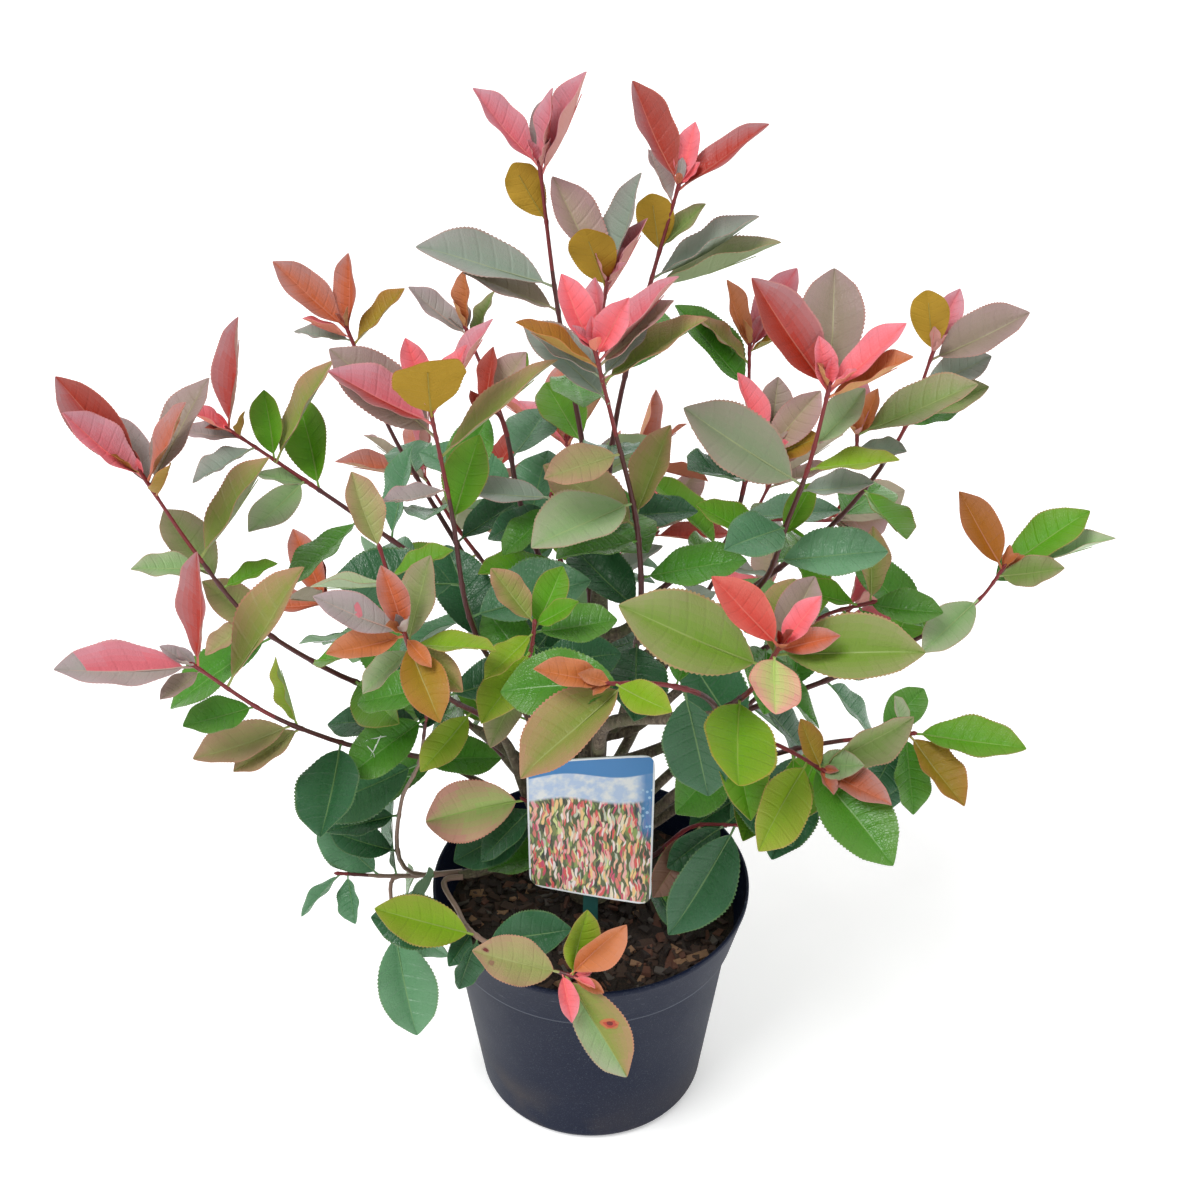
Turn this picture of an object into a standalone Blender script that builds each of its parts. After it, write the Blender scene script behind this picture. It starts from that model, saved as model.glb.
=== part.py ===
"""A red tip photinia shrub in its nursery pot, at its real size.

The frame is the pot's own: the origin is the centre of its flat underside, +Z is up and
-Y is the front. Every stem is a smooth curve through a few chosen places. Leaves listed
for a shoot are read like the hand of a clock held square to a line of sight that comes
down on the plant from the front, and the rest are dealt out round the stem by the golden
angle with seeded variation. A leaf that would touch anything outside its own mass is
turned a little and, if that fails, left out.
"""

import bpy
import bmesh
from math import copysign, cos, pi, radians, sin, sqrt
from mathutils import Matrix, Quaternion, Vector
from mathutils.bvhtree import BVHTree
from random import Random

# Pot: a 10 litre nursery container, metres
POT_HEIGHT = 0.225
RIM_RADIUS = 0.140
BAND_DEPTH = 0.048
BAND_FOOT_RADIUS = 0.1290
BODY_TOP_RADIUS = 0.1245
BASE_RADIUS = 0.1030
BASE_ROUNDING = 0.010
WALL = 0.0028
FLOOR_THICKNESS = 0.005
ROUND_SEGMENTS = 32
NOTCH_COUNT = 8
NOTCH_SIZE = (0.0040, 0.018, 0.0070)
COMPOST_TOP = 0.190
COMPOST_EDGE_DROP = 0.004
COMPOST_FLAT_RADIUS = 0.060

# Label card and the stake that holds it
CARD_SIZE = (0.105, 0.0014, 0.133)
CARD_CENTRE = (0.000, -0.046, 0.3230)
CARD_TURN = radians(-4)
CARD_LEANS = (radians(0), radians(20))
CARD_CORNER = 0.010
STAKE_WIDTH = 0.013
STAKE_THICKNESS = 0.003
STAKE_TOP = 0.355

# Clearances and growth
GAP = 0.0003
SEAT_STEP = 0.0001
SHOULDER = (0.009, 0.003)
LEAF_CLEARANCE = 0.0007
LOOK_DOWN = radians(35)
VIEWER = Vector((0, -cos(LOOK_DOWN), sin(LOOK_DOWN)))
FACE_PULL = (0.9, 0.5, 0.25)
GOLDEN_TURN = radians(137.5)
SEED = 41
SAMPLES_PER_SPAN = 8
TUBE_SLACK = 0.0010
TWIG_SIDES = 3
BOUGH_SIDES = 5
TRUNK_SIDES = 12
STEM_ROOT_RADIUS = 0.0027
STEM_TIP_RADIUS = 0.0017
STEM_LEAD = 0.008
ROOT_DEPTH = 0.0012
LEAF_THICKNESS = 0.020
ROSETTE_STEP = 0.0022
LISTED_SHARE = 0.40

# Blade stations as (share of the length, share of the full width)
BLADE = ((0.37, 0.93), (0.72, 0.88))

# Leaf ages: width over length, how far the tip bends back, roughness
AGES = {
    "young": (0.38, 0.03, 0.45),
    "middle": (0.46, 0.08, 0.45),
    "old": (0.53, 0.12, 0.30),
    "broad": (0.60, 0.09, 0.45),
}

# Leaf tints: age and colour
TINTS = {
    "coral": ("young", (0.86, 0.13, 0.14)),
    "rose": ("young", (0.70, 0.17, 0.21)),
    "scarlet": ("young", (0.55, 0.05, 0.05)),
    "terracotta": ("young", (0.58, 0.16, 0.08)),
    "apricot": ("young", (0.72, 0.22, 0.07)),
    "amber": ("young", (0.44, 0.17, 0.03)),
    "lilac": ("young", (0.38, 0.27, 0.32)),
    "blush": ("middle", (0.48, 0.22, 0.24)),
    "mauve": ("middle", (0.27, 0.16, 0.17)),
    "tan": ("middle", (0.36, 0.27, 0.14)),
    "honey": ("broad", (0.50, 0.20, 0.04)),
    "peach": ("broad", (0.45, 0.30, 0.16)),
    "fresh": ("broad", (0.30, 0.46, 0.05)),
    "gold": ("middle", (0.34, 0.22, 0.04)),
    "bronze": ("middle", (0.21, 0.17, 0.07)),
    "olive": ("middle", (0.20, 0.23, 0.07)),
    "sage": ("middle", (0.24, 0.31, 0.25)),
    "pale": ("middle", (0.34, 0.43, 0.25)),
    "lime": ("middle", (0.32, 0.44, 0.05)),
    "leaf": ("middle", (0.15, 0.34, 0.05)),
    "fern": ("old", (0.09, 0.26, 0.08)),
    "blue": ("old", (0.09, 0.22, 0.15)),
    "dark": ("old", (0.03, 0.12, 0.05)),
    "brown": ("middle", (0.22, 0.12, 0.08)),
}
YOUNG_TINTS = ("coral", "rose", "scarlet", "terracotta", "blush")
STEM_TINTS = ("bronze", "olive", "leaf", "sage", "fern")
LOW_TINTS = ("fern", "dark", "leaf", "fern", "dark", "blue")

# Trunk: centre line and radius from the compost to the tip
TRUNK = (
    ((0.000, 0.020, COMPOST_TOP + GAP), 0.0200),
    ((-0.001, 0.021, 0.202), 0.0150),
    ((-0.006, 0.024, 0.260), 0.0122),
    ((0.002, 0.032, 0.340), 0.0105),
    ((0.006, 0.042, 0.430), 0.0085),
    ((0.008, 0.052, 0.520), 0.0066),
)

# Boughs: height on the trunk, radius at each end, places on the way and the tip
BOUGHS = {
    "bough_centre": (0.375, 0.0050, 0.0039, ((0.034, -0.006, 0.46),)),
    "bough_left_centre": (0.286, 0.0060, 0.0047, ((-0.043, -0.002, 0.38),)),
    "bough_left_back": (0.400, 0.0050, 0.0039, ((-0.035, 0.050, 0.50),)),
    "bough_upper_left": (0.330, 0.0055, 0.0043, ((-0.068, 0.066, 0.44),)),
    "bough_left_high": (0.350, 0.0055, 0.0043, ((-0.075, 0.030, 0.47),)),
    "bough_far_left": (0.312, 0.0058, 0.0045, ((-0.100, 0.012, 0.385),)),
    "bough_low_left": (0.238, 0.0056, 0.0044, ((-0.100, 0.004, 0.335),)),
    "bough_front_left": (0.270, 0.0050, 0.0039, ((-0.072, -0.016, 0.395),)),
    "bough_front_small": (0.300, 0.0045, 0.0035, ((-0.022, -0.026, 0.43),)),
    "bough_low": (0.216, 0.0056, 0.0046, ((-0.055, 0.000, 0.245), (-0.115, -0.022, 0.249))),
    "bough_front": (0.335, 0.0062, 0.0046, ((0.012, -0.045, 0.43), (0.095, -0.140, 0.515))),
    "bough_right_centre": (0.430, 0.0055, 0.0043, ((0.085, 0.004, 0.50),)),
    "bough_right_inner": (0.455, 0.0050, 0.0039, ((0.060, 0.050, 0.50),)),
    "bough_right_high": (0.400, 0.0056, 0.0044, ((0.110, 0.060, 0.47),)),
    "bough_far_right": (0.330, 0.0056, 0.0044, ((0.120, 0.020, 0.39),)),
    "bough_right_mid": (0.362, 0.0048, 0.0037, ((0.080, 0.010, 0.43),)),
    "bough_right_front": (0.268, 0.0054, 0.0042, ((0.082, -0.034, 0.36),)),
    "bough_right_low": (0.248, 0.0052, 0.0041, ((0.115, 0.006, 0.338),)),
    "bough_back_left": (0.295, 0.0055, 0.0043, ((-0.032, 0.120, 0.38),)),
    "bough_back": (0.365, 0.0055, 0.0043, ((0.000, 0.105, 0.43),)),
    "bough_back_right": (0.300, 0.0055, 0.0043, ((0.060, 0.100, 0.37),)),
    "bough_low_back_left": (0.255, 0.0052, 0.0041, ((-0.080, 0.080, 0.30),)),
    "bough_low_back": (0.270, 0.0052, 0.0041, ((0.000, 0.105, 0.31),)),
    "bough_low_back_right": (0.250, 0.0052, 0.0041, ((0.085, 0.075, 0.30),)),}

# Foliage masses. Each names what carries it and how far to the side of its tip the stem
# stands, then its shoots. The first shoot is the mass's own stem and starts at its
# carrier; a later one forks off it, "fork" metres before the first one's tip.
# A leaf is (cm back from the tip, clock degrees, degrees towards the viewer, cm, tint, and for some
# the share of the width that the front sees).
MASSES = {
    "foliage_peak_left": ("trunk", (-0.0034, 0.0, 0.0), (
        {"path": ((-0.004, 0.060, 0.615), (-0.025, 0.055, 0.757), (-0.035, 0.050, 0.860)),
         "leaves": ((0, -42, 20, 7.2, "rose", 0.85), (0, 5, 0, 5.5, "lilac"),
                    (0, 8, 35, 6.2, "rose", 0.45), (0, 25, 20, 8.2, "rose", 0.45),
                    (4.2, -35, 20, 4.9, "honey", -0.98), (9.5, -69, 15, 10.6, "sage", 0.75),
                    (11.5, -64, 22, 7.8, "mauve", 0.65)),
         "extra": 3},
        {"fork": 0.19, "path": ((0.006, 0.032, 0.735), (0.013, 0.020, 0.784)),
         "leaves": ((0, -29, 5, 8.6, "blush", 0.85), (0.3, -20, 42, 5.4, "honey", -0.98),
                    (0, 12, 5, 8.6, "sage", 0.5), (0.6, 26, 12, 6.4, "rose", 0.4))},
    )),
    "foliage_peak_right": ("trunk", (0.0034, 0.0, 0.0), (
        {"path": ((0.020, 0.076, 0.638), (0.046, 0.080, 0.756), (0.066, 0.080, 0.835)),
         "leaves": ((0, -26, 15, 8.2, "scarlet", 0.92), (0, 8, 8, 5.0, "coral", 0.98),
                    (0, 52, 15, 8.2, "scarlet", 0.7), (1.5, -20, -10, 4.8, "lilac", 0.7),
                    (5.5, -8, 32, 4.9, "honey", -0.98), (5.0, 45, 25, 4.6, "olive"),
                    (7.6, 61, 20, 9.3, "sage", 0.5), (8.4, 70, 12, 10.5, "olive", 0.32)),
         "extra": 3},
    )),
    "foliage_centre": ("bough_centre", (0, 0, 0), (
        {"path": ((0.040, -0.028, 0.545), (0.036, -0.036, 0.610), (0.017, -0.060, 0.713),
                  (0.005, -0.080, 0.777)),
         "leaves": ((0, -27, 20, 5.8, "coral", 0.98), (0, 0, 0, 5.4, "rose", 0.8),
                    (0, 27, 48, 5.7, "coral", 0.98), (0.3, 40, 15, 8.0, "rose", 0.5),
                    (0.4, 48, 22, 6.8, "blush", 0.6), (2.8, 53, 15, 8.4, "bronze", 0.55),
                    (2.4, 37, 8, 5.0, "sage", 0.75), (1.4, -61, 25, 6.8, "amber", 0.42),
                    (0.6, -53, 5, 6.0, "sage", 0.7), (4.8, -40, 5, 8.2, "sage", 0.85),
                    (10.0, -108, 35, 6.5, "tan", 0.98), (16.5, 16, 20, 7.4, "bronze", 0.8),
                    (17.5, -52, 15, 8.4, "tan", 0.98)),
         "extra": 5},
    )),
    "foliage_left_centre": ("bough_left_centre", (0, 0, 0), (
        {"path": ((-0.092, -0.055, 0.542), (-0.099, -0.080, 0.652), (-0.108, -0.100, 0.745)),
         "leaves": ((0, -16, 12, 5.0, "coral", 0.98), (0, 29, 15, 5.2, "coral", 0.7),
                    (0.2, 31, 8, 7.8, "rose", 0.5), (0.2, 0, 62, 7.6, "honey", -0.98),
                    (0.6, -59, 18, 8.0, "rose", 0.85), (2.7, -47, 15, 9.4, "mauve", 0.98),
                    (4.5, 47, 10, 10.7, "bronze", 0.45), (10.8, 14, 20, 6.8, "leaf", 0.98),
                    (7.5, -105, 22, 4.8, "lilac")),
         "extra": 6},
    )),
    "foliage_left_back": ("bough_left_back", (0, 0, 0), (
        {"path": ((-0.058, 0.052, 0.590), (-0.066, 0.060, 0.640), (-0.096, 0.090, 0.714)),
         "leaves": ((0, -3, 35, 5.0, "apricot", 0.65), (0.3, -51, 12, 6.0, "lilac", 0.85),
                    (1.0, 20, 0, 4.4, "olive")),
         "extra": 4},
        {"fork": 0.085, "path": ((-0.081, 0.030, 0.675),),
         "leaves": ((0, 9, 15, 4.9, "scarlet", 0.85), (0.3, 32, 20, 5.5, "blush"),
                    (0.8, 28, 0, 5.5, "leaf"), (2.0, -150, 22, 6.5, "fern"))},
    )),
    "foliage_upper_left": ("bough_upper_left", (0, 0, 0), (
        {"path": ((-0.130, 0.095, 0.552), (-0.160, 0.112, 0.604), (-0.195, 0.130, 0.696)),
         "leaves": ((0, -48, 20, 7.8, "terracotta", 0.92), (0, 0, 15, 6.2, "terracotta", 0.85),
                    (0.3, -62, 30, 4.2, "coral"), (1.0, -75, 0, 4.8, "sage"),
                    (0.5, 39, 15, 6.2, "gold", 0.6)),
         "extra": 5},
    )),
    "foliage_left_high": ("bough_left_high", (0, 0, 0), (
        {"path": ((-0.190, 0.045, 0.575), (-0.224, 0.050, 0.600), (-0.282, 0.050, 0.648)),
         "leaves": ((0, 7, 20, 8.8, "scarlet", 0.7), (0.3, -60, 40, 4.8, "coral", 0.5),
                    (0.8, -80, 8, 4.6, "lilac"), (0.4, 20, 60, 3.4, "amber"),
                    (4.5, 24, 15, 9.2, "bronze", 0.5), (4.3, -8, 5, 5.6, "leaf", 0.98),
                    (8.6, -14, -4, 8.2, "leaf", 0.98), (7.2, -141, 35, 6.5, "pale", 0.98),
                    (7.8, -75, 10, 4.4, "pale"), (2.5, -115, 20, 5.6, "sage")),
         "extra": 5},
    )),
    "foliage_far_left": ("bough_far_left", (0, 0, 0), (
        {"path": ((-0.212, -0.029, 0.476), (-0.261, -0.045, 0.532), (-0.297, -0.050, 0.600),
                  (-0.326, -0.050, 0.664)),
         "leaves": ((0, -40, 20, 9.2, "scarlet", 0.98), (0.1, -56, 30, 7.8, "coral", 0.75),
                    (0.2, 32, 30, 7.4, "terracotta", 0.6), (0.4, 24, 5, 9.0, "mauve", 0.8),
                    (0.5, -27, -5, 6.6, "lilac", 0.9), (0.8, 45, 60, 5.2, "amber"),
                    (9.0, -85, 20, 5.6, "pale", 0.75), (10.5, -33, -5, 7.2, "olive"),
                    (8.0, 33, 15, 9.5, "bronze", 0.6), (11.0, 62, 0, 4.6, "leaf"),
                    (14.5, -130, 20, 4.4, "tan"), (17.0, -56, 25, 6.8, "tan")),
         "extra": 5},
    )),
    "foliage_low_left": ("bough_low_left", (0, 0, 0), (
        {"path": ((-0.201, -0.090, 0.451), (-0.240, -0.130, 0.508), (-0.281, -0.150, 0.564)),
         "leaves": ((0, -93, 25, 9.7, "lilac", 0.85), (0, 5, 25, 8.8, "scarlet", 0.72),
                    (0.1, -130, 30, 3.6, "mauve"), (3.2, 28, 15, 10.7, "bronze", 0.65),
                    (6.2, -104, 30, 5.4, "fern", 0.9), (10.5, -110, 12, 7.8, "tan"),
                    (11.5, -120, 22, 6.0, "tan"), (11.0, -25, 0, 5.5, "lime", 0.5)),
         "extra": 3},
    )),
    "foliage_front_left": ("bough_front_left", (0, 0, 0), (
        {"path": ((-0.110, -0.120, 0.520), (-0.124, -0.160, 0.580), (-0.126, -0.180, 0.614)),
         "leaves": ((0, -69, 25, 6.8, "lilac", 0.92), (0, -12, 30, 5.4, "terracotta", 0.98),
                    (0, -105, 30, 5.8, "apricot", 0.95), (0.2, 137, 40, 3.4, "apricot", 0.98),
                    (0.3, 155, 30, 6.8, "gold", 0.98), (0.8, 128, 20, 5.2, "bronze"),
                    (0.5, 11, 20, 6.4, "olive", 0.9), (0.6, 85, 25, 6.6, "lime", 0.38),
                    (0.8, -128, 0, 4.6, "pale"), (19.6, -142, 25, 6.2, "lime", 0.98),
                    (10.5, -95, -15, 7.0, "fern"), (13.0, 70, -10, 6.5, "dark"),
                    (16.0, -60, -15, 7.5, "dark")),
         "extra": 0},
        {"fork": 0.06, "path": ((-0.145, -0.130, 0.649),),
         "leaves": ((0, -20, 15, 5.8, "tan"), (2.0, 60, 10, 5.0, "leaf"), (2.5, -85, 10, 5.5, "pale"))},
    )),
    "foliage_front_small": ("bough_front_small", (0, 0, 0), (
        {"path": ((-0.044, -0.110, 0.540), (-0.040, -0.140, 0.580), (-0.038, -0.150, 0.601)),
         "leaves": ((0, -36, 15, 5.0, "bronze", 0.9), (0, 62, 30, 3.8, "leaf"),
                    (0.8, -132, 25, 4.8, "lime"), (4.5, -146, 35, 7.0, "lime"),
                    (0.3, 25, -10, 5.4, "leaf"), (1.2, 78, 0, 6.0, "fern"), (3.0, 130, -5, 6.0, "dark"),
                    (8.5, -148, 15, 6.8, "olive"), (9.5, 75, -12, 7.2, "dark"),
                    (12.0, -50, -20, 7.0, "fern"), (14.0, 35, -15, 6.5, "dark")),
         "extra": 0},
    )),
    "foliage_low_left_dark": ("bough_low", (0.0, 0.0032, 0.0), (
        {"path": ((-0.140, -0.022, 0.249), (-0.170, -0.025, 0.250), (-0.215, -0.035, 0.262)),
         "leaves": ((0, -130, 20, 4.8, "blue"), (0.4, 175, 25, 4.4, "blue"), (0.8, -40, 0, 4.6, "blue"),
                    (3.4, -45, 25, 7.2, "blue", 0.98)),
         "extra": 3},
        {"fork": 0.082, "path": ((-0.156, -0.046, 0.353), (-0.138, -0.058, 0.402), (-0.129, -0.064, 0.452)),
         "leaves": ((0, -104, 15, 7.6, "fern", 0.95), (0.8, -80, -12, 8.2, "dark"),
                    (5.2, -114, 18, 9.9, "dark", 0.9), (6.8, -96, 0, 8.6, "dark"),
                    (12.5, -84, 15, 6.2, "dark"), (17.5, -80, 10, 6.1, "dark"),
                    (0.5, 15, 0, 6.0, "dark"), (5.0, 80, 0, 6.5, "fern"))},
        {"fork": 0.058, "path": ((-0.170, -0.052, 0.214),),
         "leaves": ((0, 170, 5, 9.4, "fern", 0.98), (0.3, 125, 0, 5.6, "fern"))},
    )),
    "foliage_rim_front": ("bough_low", (0.0, -0.0032, 0.0), (
        {"path": ((-0.112, -0.070, 0.252), (-0.092, -0.118, 0.268), (-0.050, -0.150, 0.272),
                  (-0.014, -0.165, 0.271)),
         "leaves": ((0, 12, 25, 6.0, "lime", 0.9), (0, 46, 30, 7.2, "apricot", 0.95),
                    (0.6, -70, 35, 8.0, "tan", 0.95), (0, 146, 5, 9.6, "pale", 0.9),
                    (0, 163, 40, 4.4, "coral", 0.95), (9.6, -71, 22, 8.8, "lime", 0.95),
                    (8.4, 80, 25, 7.5, "dark"), (10.5, -150, 30, 3.4, "dark"),
                    (9.2, -168, -5, 4.8, "dark"), (11.5, -83, 0, 8.0, "dark")),
         "extra": 0},
    )),
    "foliage_front_mid": ("bough_front", (-0.0030, -0.0008, 0.0), (
        {"path": ((0.081, -0.170, 0.553), (0.045, -0.195, 0.582), (0.016, -0.210, 0.593)),
         "leaves": ((0, -76, 25, 5.8, "apricot", 0.9), (0, 118, 35, 4.8, "lime", 0.98),
                    (0.8, -88, -5, 8.8, "fern"), (0.6, -124, 21, 9.8, "bronze", 0.8),
                    (6.4, 168, -18, 8.8, "dark", 0.9), (5.5, 20, -20, 5.0, "fern")),
         "extra": 0},
    )),
    "foliage_front_red": ("bough_front", (0.0030, 0.0008, 0.0), (
        {"path": ((0.113, -0.175, 0.560), (0.128, -0.210, 0.623)),
         "leaves": ((0, -42, 20, 6.9, "scarlet", 0.98), (0, 35, 25, 4.7, "coral", 0.9),
                    (0.1, 72, 30, 4.6, "terracotta", 0.98), (0.6, 184, 55, 5.8, "peach", 0.98),
                    (1.2, 84, 22, 10.0, "lime", 0.95), (3.2, -68, 22, 11.3, "olive", 0.98),
                    (1.6, 30, -12, 6.6, "mauve"), (2.0, 18, -28, 7.4, "bronze", 0.98),
                    (9.0, 188, 44, 8.4, "fresh", 0.98), (11.5, 166, 32, 8.4, "leaf", 0.98)),
         "extra": 0},
    )),
    "foliage_right_centre": ("bough_right_centre", (0, 0, 0), (
        {"path": ((0.131, -0.030, 0.554), (0.147, -0.055, 0.629), (0.157, -0.065, 0.676),
                  (0.166, -0.080, 0.750)),
         "leaves": ((0.2, -36, 20, 9.5, "scarlet", 0.98), (0.3, 6, -5, 9.4, "mauve", 0.98),
                    (0, 47, 20, 7.1, "coral", 0.72), (0, -10, 35, 4.5, "coral"),
                    (0, 64, 30, 6.8, "apricot", 0.5), (5.3, 43, 15, 5.4, "pale"),
                    (7.5, 78, 20, 6.6, "lime"), (9.0, -58, 22, 10.5, "olive", 0.98),
                    (9.6, 82, 8, 5.4, "sage"), (14.5, 30, 0, 4.8, "leaf"), (15.5, -62, 10, 7.0, "leaf")),
         "extra": 4},
    )),
    "foliage_right_inner": ("bough_right_inner", (0, 0, 0), (
        {"path": ((0.105, 0.050, 0.535), (0.122, 0.060, 0.580), (0.127, 0.095, 0.645), (0.127, 0.110, 0.690)),
         "leaves": ((0, -23, 20, 5.6, "apricot", 0.8), (0.2, 60, 30, 3.4, "gold"),
                    (0, 26, 0, 7.8, "rose"), (3.5, -35, 10, 8.9, "fern", 0.7),
                    (0.5, -42, 8, 5.6, "bronze")),
         "extra": 4},
        {"fork": 0.115, "path": ((0.138, 0.030, 0.636),),
         "leaves": ((0, -20, 20, 6.9, "coral", 0.7), (0, 12, 5, 6.2, "mauve"),
                    (0.1, 36, 22, 6.6, "blush"), (0.4, 70, 40, 5.0, "gold"), (5.0, -48, 20, 6.0, "fern"))},
    )),
    "foliage_right_high": ("bough_right_high", (0, 0, 0), (
        {"path": ((0.205, 0.060, 0.565), (0.244, 0.052, 0.642), (0.259, 0.040, 0.718)),
         "leaves": ((0, -8, 22, 5.0, "honey", -0.98), (0, 20, -5, 5.8, "rose"),
                    (0.2, 64, 20, 8.0, "blush", 0.92), (3.2, 65, 2, 6.0, "sage"),
                    (6.0, 68, 15, 6.4, "olive"), (7.0, 62, -8, 5.6, "fern")),
         "extra": 5},
        {"fork": 0.120, "path": ((0.205, 0.010, 0.640), (0.201, 0.000, 0.670)),
         "leaves": ((0, 65, 22, 9.6, "olive", 0.65), (0.3, 20, 20, 4.2, "apricot"),
                    (0, 0, 10, 5.0, "rose"), (0.6, 95, 40, 4.2, "sage"))},
    )),
    "foliage_far_right": ("bough_far_right", (0, 0, 0), (
        {"path": ((0.252, 0.010, 0.467), (0.313, 0.000, 0.526), (0.325, 0.000, 0.550)),
         "leaves": ((0, -30, 20, 7.4, "apricot", 0.98), (0, 48, 15, 8.2, "leaf", 0.72),
                    (0, 65, 10, 9.2, "pale", 0.4), (0, 86, 42, 5.8, "olive", 0.95),
                    (0.5, 60, -25, 5.2, "fern"), (3.2, -126, 25, 6.8, "pale", 0.95),
                    (8.4, -40, 15, 9.2, "fern")),
         "extra": 5},
    )),
    "foliage_right_mid": ("bough_right_mid", (0, 0, 0), (
        {"path": ((0.160, -0.006, 0.490), (0.190, -0.010, 0.515), (0.220, -0.020, 0.532)),
         "leaves": ((0, 5, 10, 6.0, "bronze"), (0.2, 95, 15, 6.0, "fern"), (0.6, 150, 20, 5.6, "fern"),
                    (1.0, -70, 10, 5.6, "leaf"), (2.5, 120, 15, 6.5, "leaf")),
         "extra": 5},
    )),
    "foliage_right_front": ("bough_right_front", (0, 0, 0), (
        {"path": ((0.139, -0.130, 0.478), (0.154, -0.158, 0.489), (0.168, -0.180, 0.494)),
         "leaves": ((0, -24, 15, 4.0, "gold"), (0, 66, 22, 7.8, "olive", 0.8),
                    (0.2, 113, 32, 6.4, "terracotta", 0.85), (1.4, 139, 32, 9.6, "fern", 0.98),
                    (0.3, 90, 50, 4.6, "pale"), (1.6, -145, 38, 8.8, "lime", 0.98),
                    (3.5, 178, 15, 6.0, "leaf")),
         "extra": 4},
    )),
    "foliage_right_low": ("bough_right_low", (0, 0, 0), (
        {"path": ((0.195, -0.072, 0.435), (0.222, -0.105, 0.465), (0.241, -0.130, 0.488)),
         "leaves": ((0, 92, 22, 8.3, "leaf", 0.75), (0.2, 139, 28, 6.8, "gold", 0.85),
                    (0.3, 172, 8, 6.0, "fern"), (0, -20, 30, 3.4, "pale"), (1.0, -155, 0, 5.8, "dark"),
                    (3.0, 175, -5, 6.2, "dark"), (3.5, 40, -20, 5.5, "fern")),
         "extra": 4},
    )),
    "foliage_inner_right": ("trunk_side", (0.222, (0.6, -0.8)), (
        {"path": ((0.052, -0.014, 0.262), (0.090, -0.030, 0.312), (0.121, -0.046, 0.326)),
         "leaves": ((0, -154, 15, 10.4, "dark", 0.95), (3.4, -142, 15, 7.2, "brown"),
                    (0.6, -138, -6, 6.0, "dark"), (5.5, 40, -10, 8.0, "dark"),
                    (1.0, 40, 0, 7.0, "dark"), (8.0, 172, 30, 5.0, "fern")),
         "extra": 1},
    )),
    "foliage_inner_left": ("trunk_side", (0.250, (-0.3, -0.95)), (
        {"path": ((-0.022, -0.010, 0.300), (-0.044, -0.024, 0.326), (-0.055, -0.028, 0.338)),
         "leaves": ((0, -97, 10, 8.4, "peach", 0.98), (2.2, -138, -5, 9.0, "dark"),
                    (1.2, -148, 8, 6.4, "dark")),
         "extra": 2},
    )),
    "foliage_inner_top": ("trunk_side", (0.484, (-0.9, -0.3)), (
        {"path": ((-0.024, 0.030, 0.540), (-0.030, 0.026, 0.600)),
         "leaves": ((0, -83, 22, 6.8, "sage"), (0.6, -132, 22, 5.6, "fern"),
                    (0.8, -105, -15, 6.2, "dark"), (0.3, 165, 25, 4.6, "leaf"),
                    (0.4, 80, 5, 6.5, "fern"), (0, 20, 0, 5.0, "leaf")),
         "extra": 3},
    )),
    "foliage_back_left": ("bough_back_left", (0, 0, 0), (
        {"path": ((-0.095, 0.165, 0.450), (-0.125, 0.185, 0.485), (-0.150, 0.205, 0.520)),
         "leaves": (), "young": 5, "extra": 4},
        {"fork": 0.060, "path": ((-0.100, 0.245, 0.490),), "leaves": (), "young": 4, "extra": 2},
    )),
    "foliage_back": ("bough_back", (0, 0, 0), (
        {"path": ((-0.005, 0.160, 0.480), (-0.012, 0.185, 0.520), (-0.022, 0.200, 0.556)),
         "leaves": (), "young": 5, "extra": 4},
        {"fork": 0.060, "path": ((0.040, 0.245, 0.512),), "leaves": (), "young": 4, "extra": 2},
    )),
    "foliage_back_right": ("bough_back_right", (0, 0, 0), (
        {"path": ((0.115, 0.155, 0.450), (0.140, 0.175, 0.485), (0.160, 0.195, 0.518)),
         "leaves": (), "young": 5, "extra": 4},
        {"fork": 0.060, "path": ((0.215, 0.175, 0.490),), "leaves": (), "young": 4, "extra": 2},
    )),
    "foliage_low_back_left": ("bough_low_back_left", (0, 0, 0), (
        {"path": ((-0.155, 0.125, 0.350), (-0.200, 0.145, 0.380), (-0.240, 0.150, 0.420)),
         "leaves": (), "young": 4, "extra": 4,
         "tints": LOW_TINTS},
        {"fork": 0.075, "path": ((-0.185, 0.215, 0.385),), "leaves": (), "young": 3, "extra": 3,
         "tints": LOW_TINTS},
    )),
    "foliage_low_back": ("bough_low_back", (0, 0, 0), (
        {"path": ((0.005, 0.180, 0.365), (-0.020, 0.225, 0.385), (-0.050, 0.255, 0.410)),
         "leaves": (), "young": 4, "extra": 4,
         "tints": LOW_TINTS},
        {"fork": 0.070, "path": ((0.060, 0.265, 0.420),), "leaves": (), "young": 3, "extra": 3,
         "tints": LOW_TINTS},
    )),
    "foliage_low_back_right": ("bough_low_back_right", (0, 0, 0), (
        {"path": ((0.155, 0.115, 0.345), (0.195, 0.140, 0.375), (0.235, 0.155, 0.410)),
         "leaves": (), "young": 4, "extra": 4,
         "tints": LOW_TINTS},
        {"fork": 0.070, "path": ((0.165, 0.220, 0.385),), "leaves": (), "young": 3, "extra": 3,
         "tints": LOW_TINTS},
    )),
}


def make_material(name, colour, roughness, metallic=0.0):
    """A plain Principled material, made once for each name."""
    material = bpy.data.materials.get(name) or bpy.data.materials.new(name)
    material.diffuse_color = (*colour, 1.0)
    material.use_nodes = True
    shader = material.node_tree.nodes["Principled BSDF"]
    shader.inputs["Base Color"].default_value = (*colour, 1.0)
    shader.inputs["Roughness"].default_value = roughness
    shader.inputs["Metallic"].default_value = metallic
    return material


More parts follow.
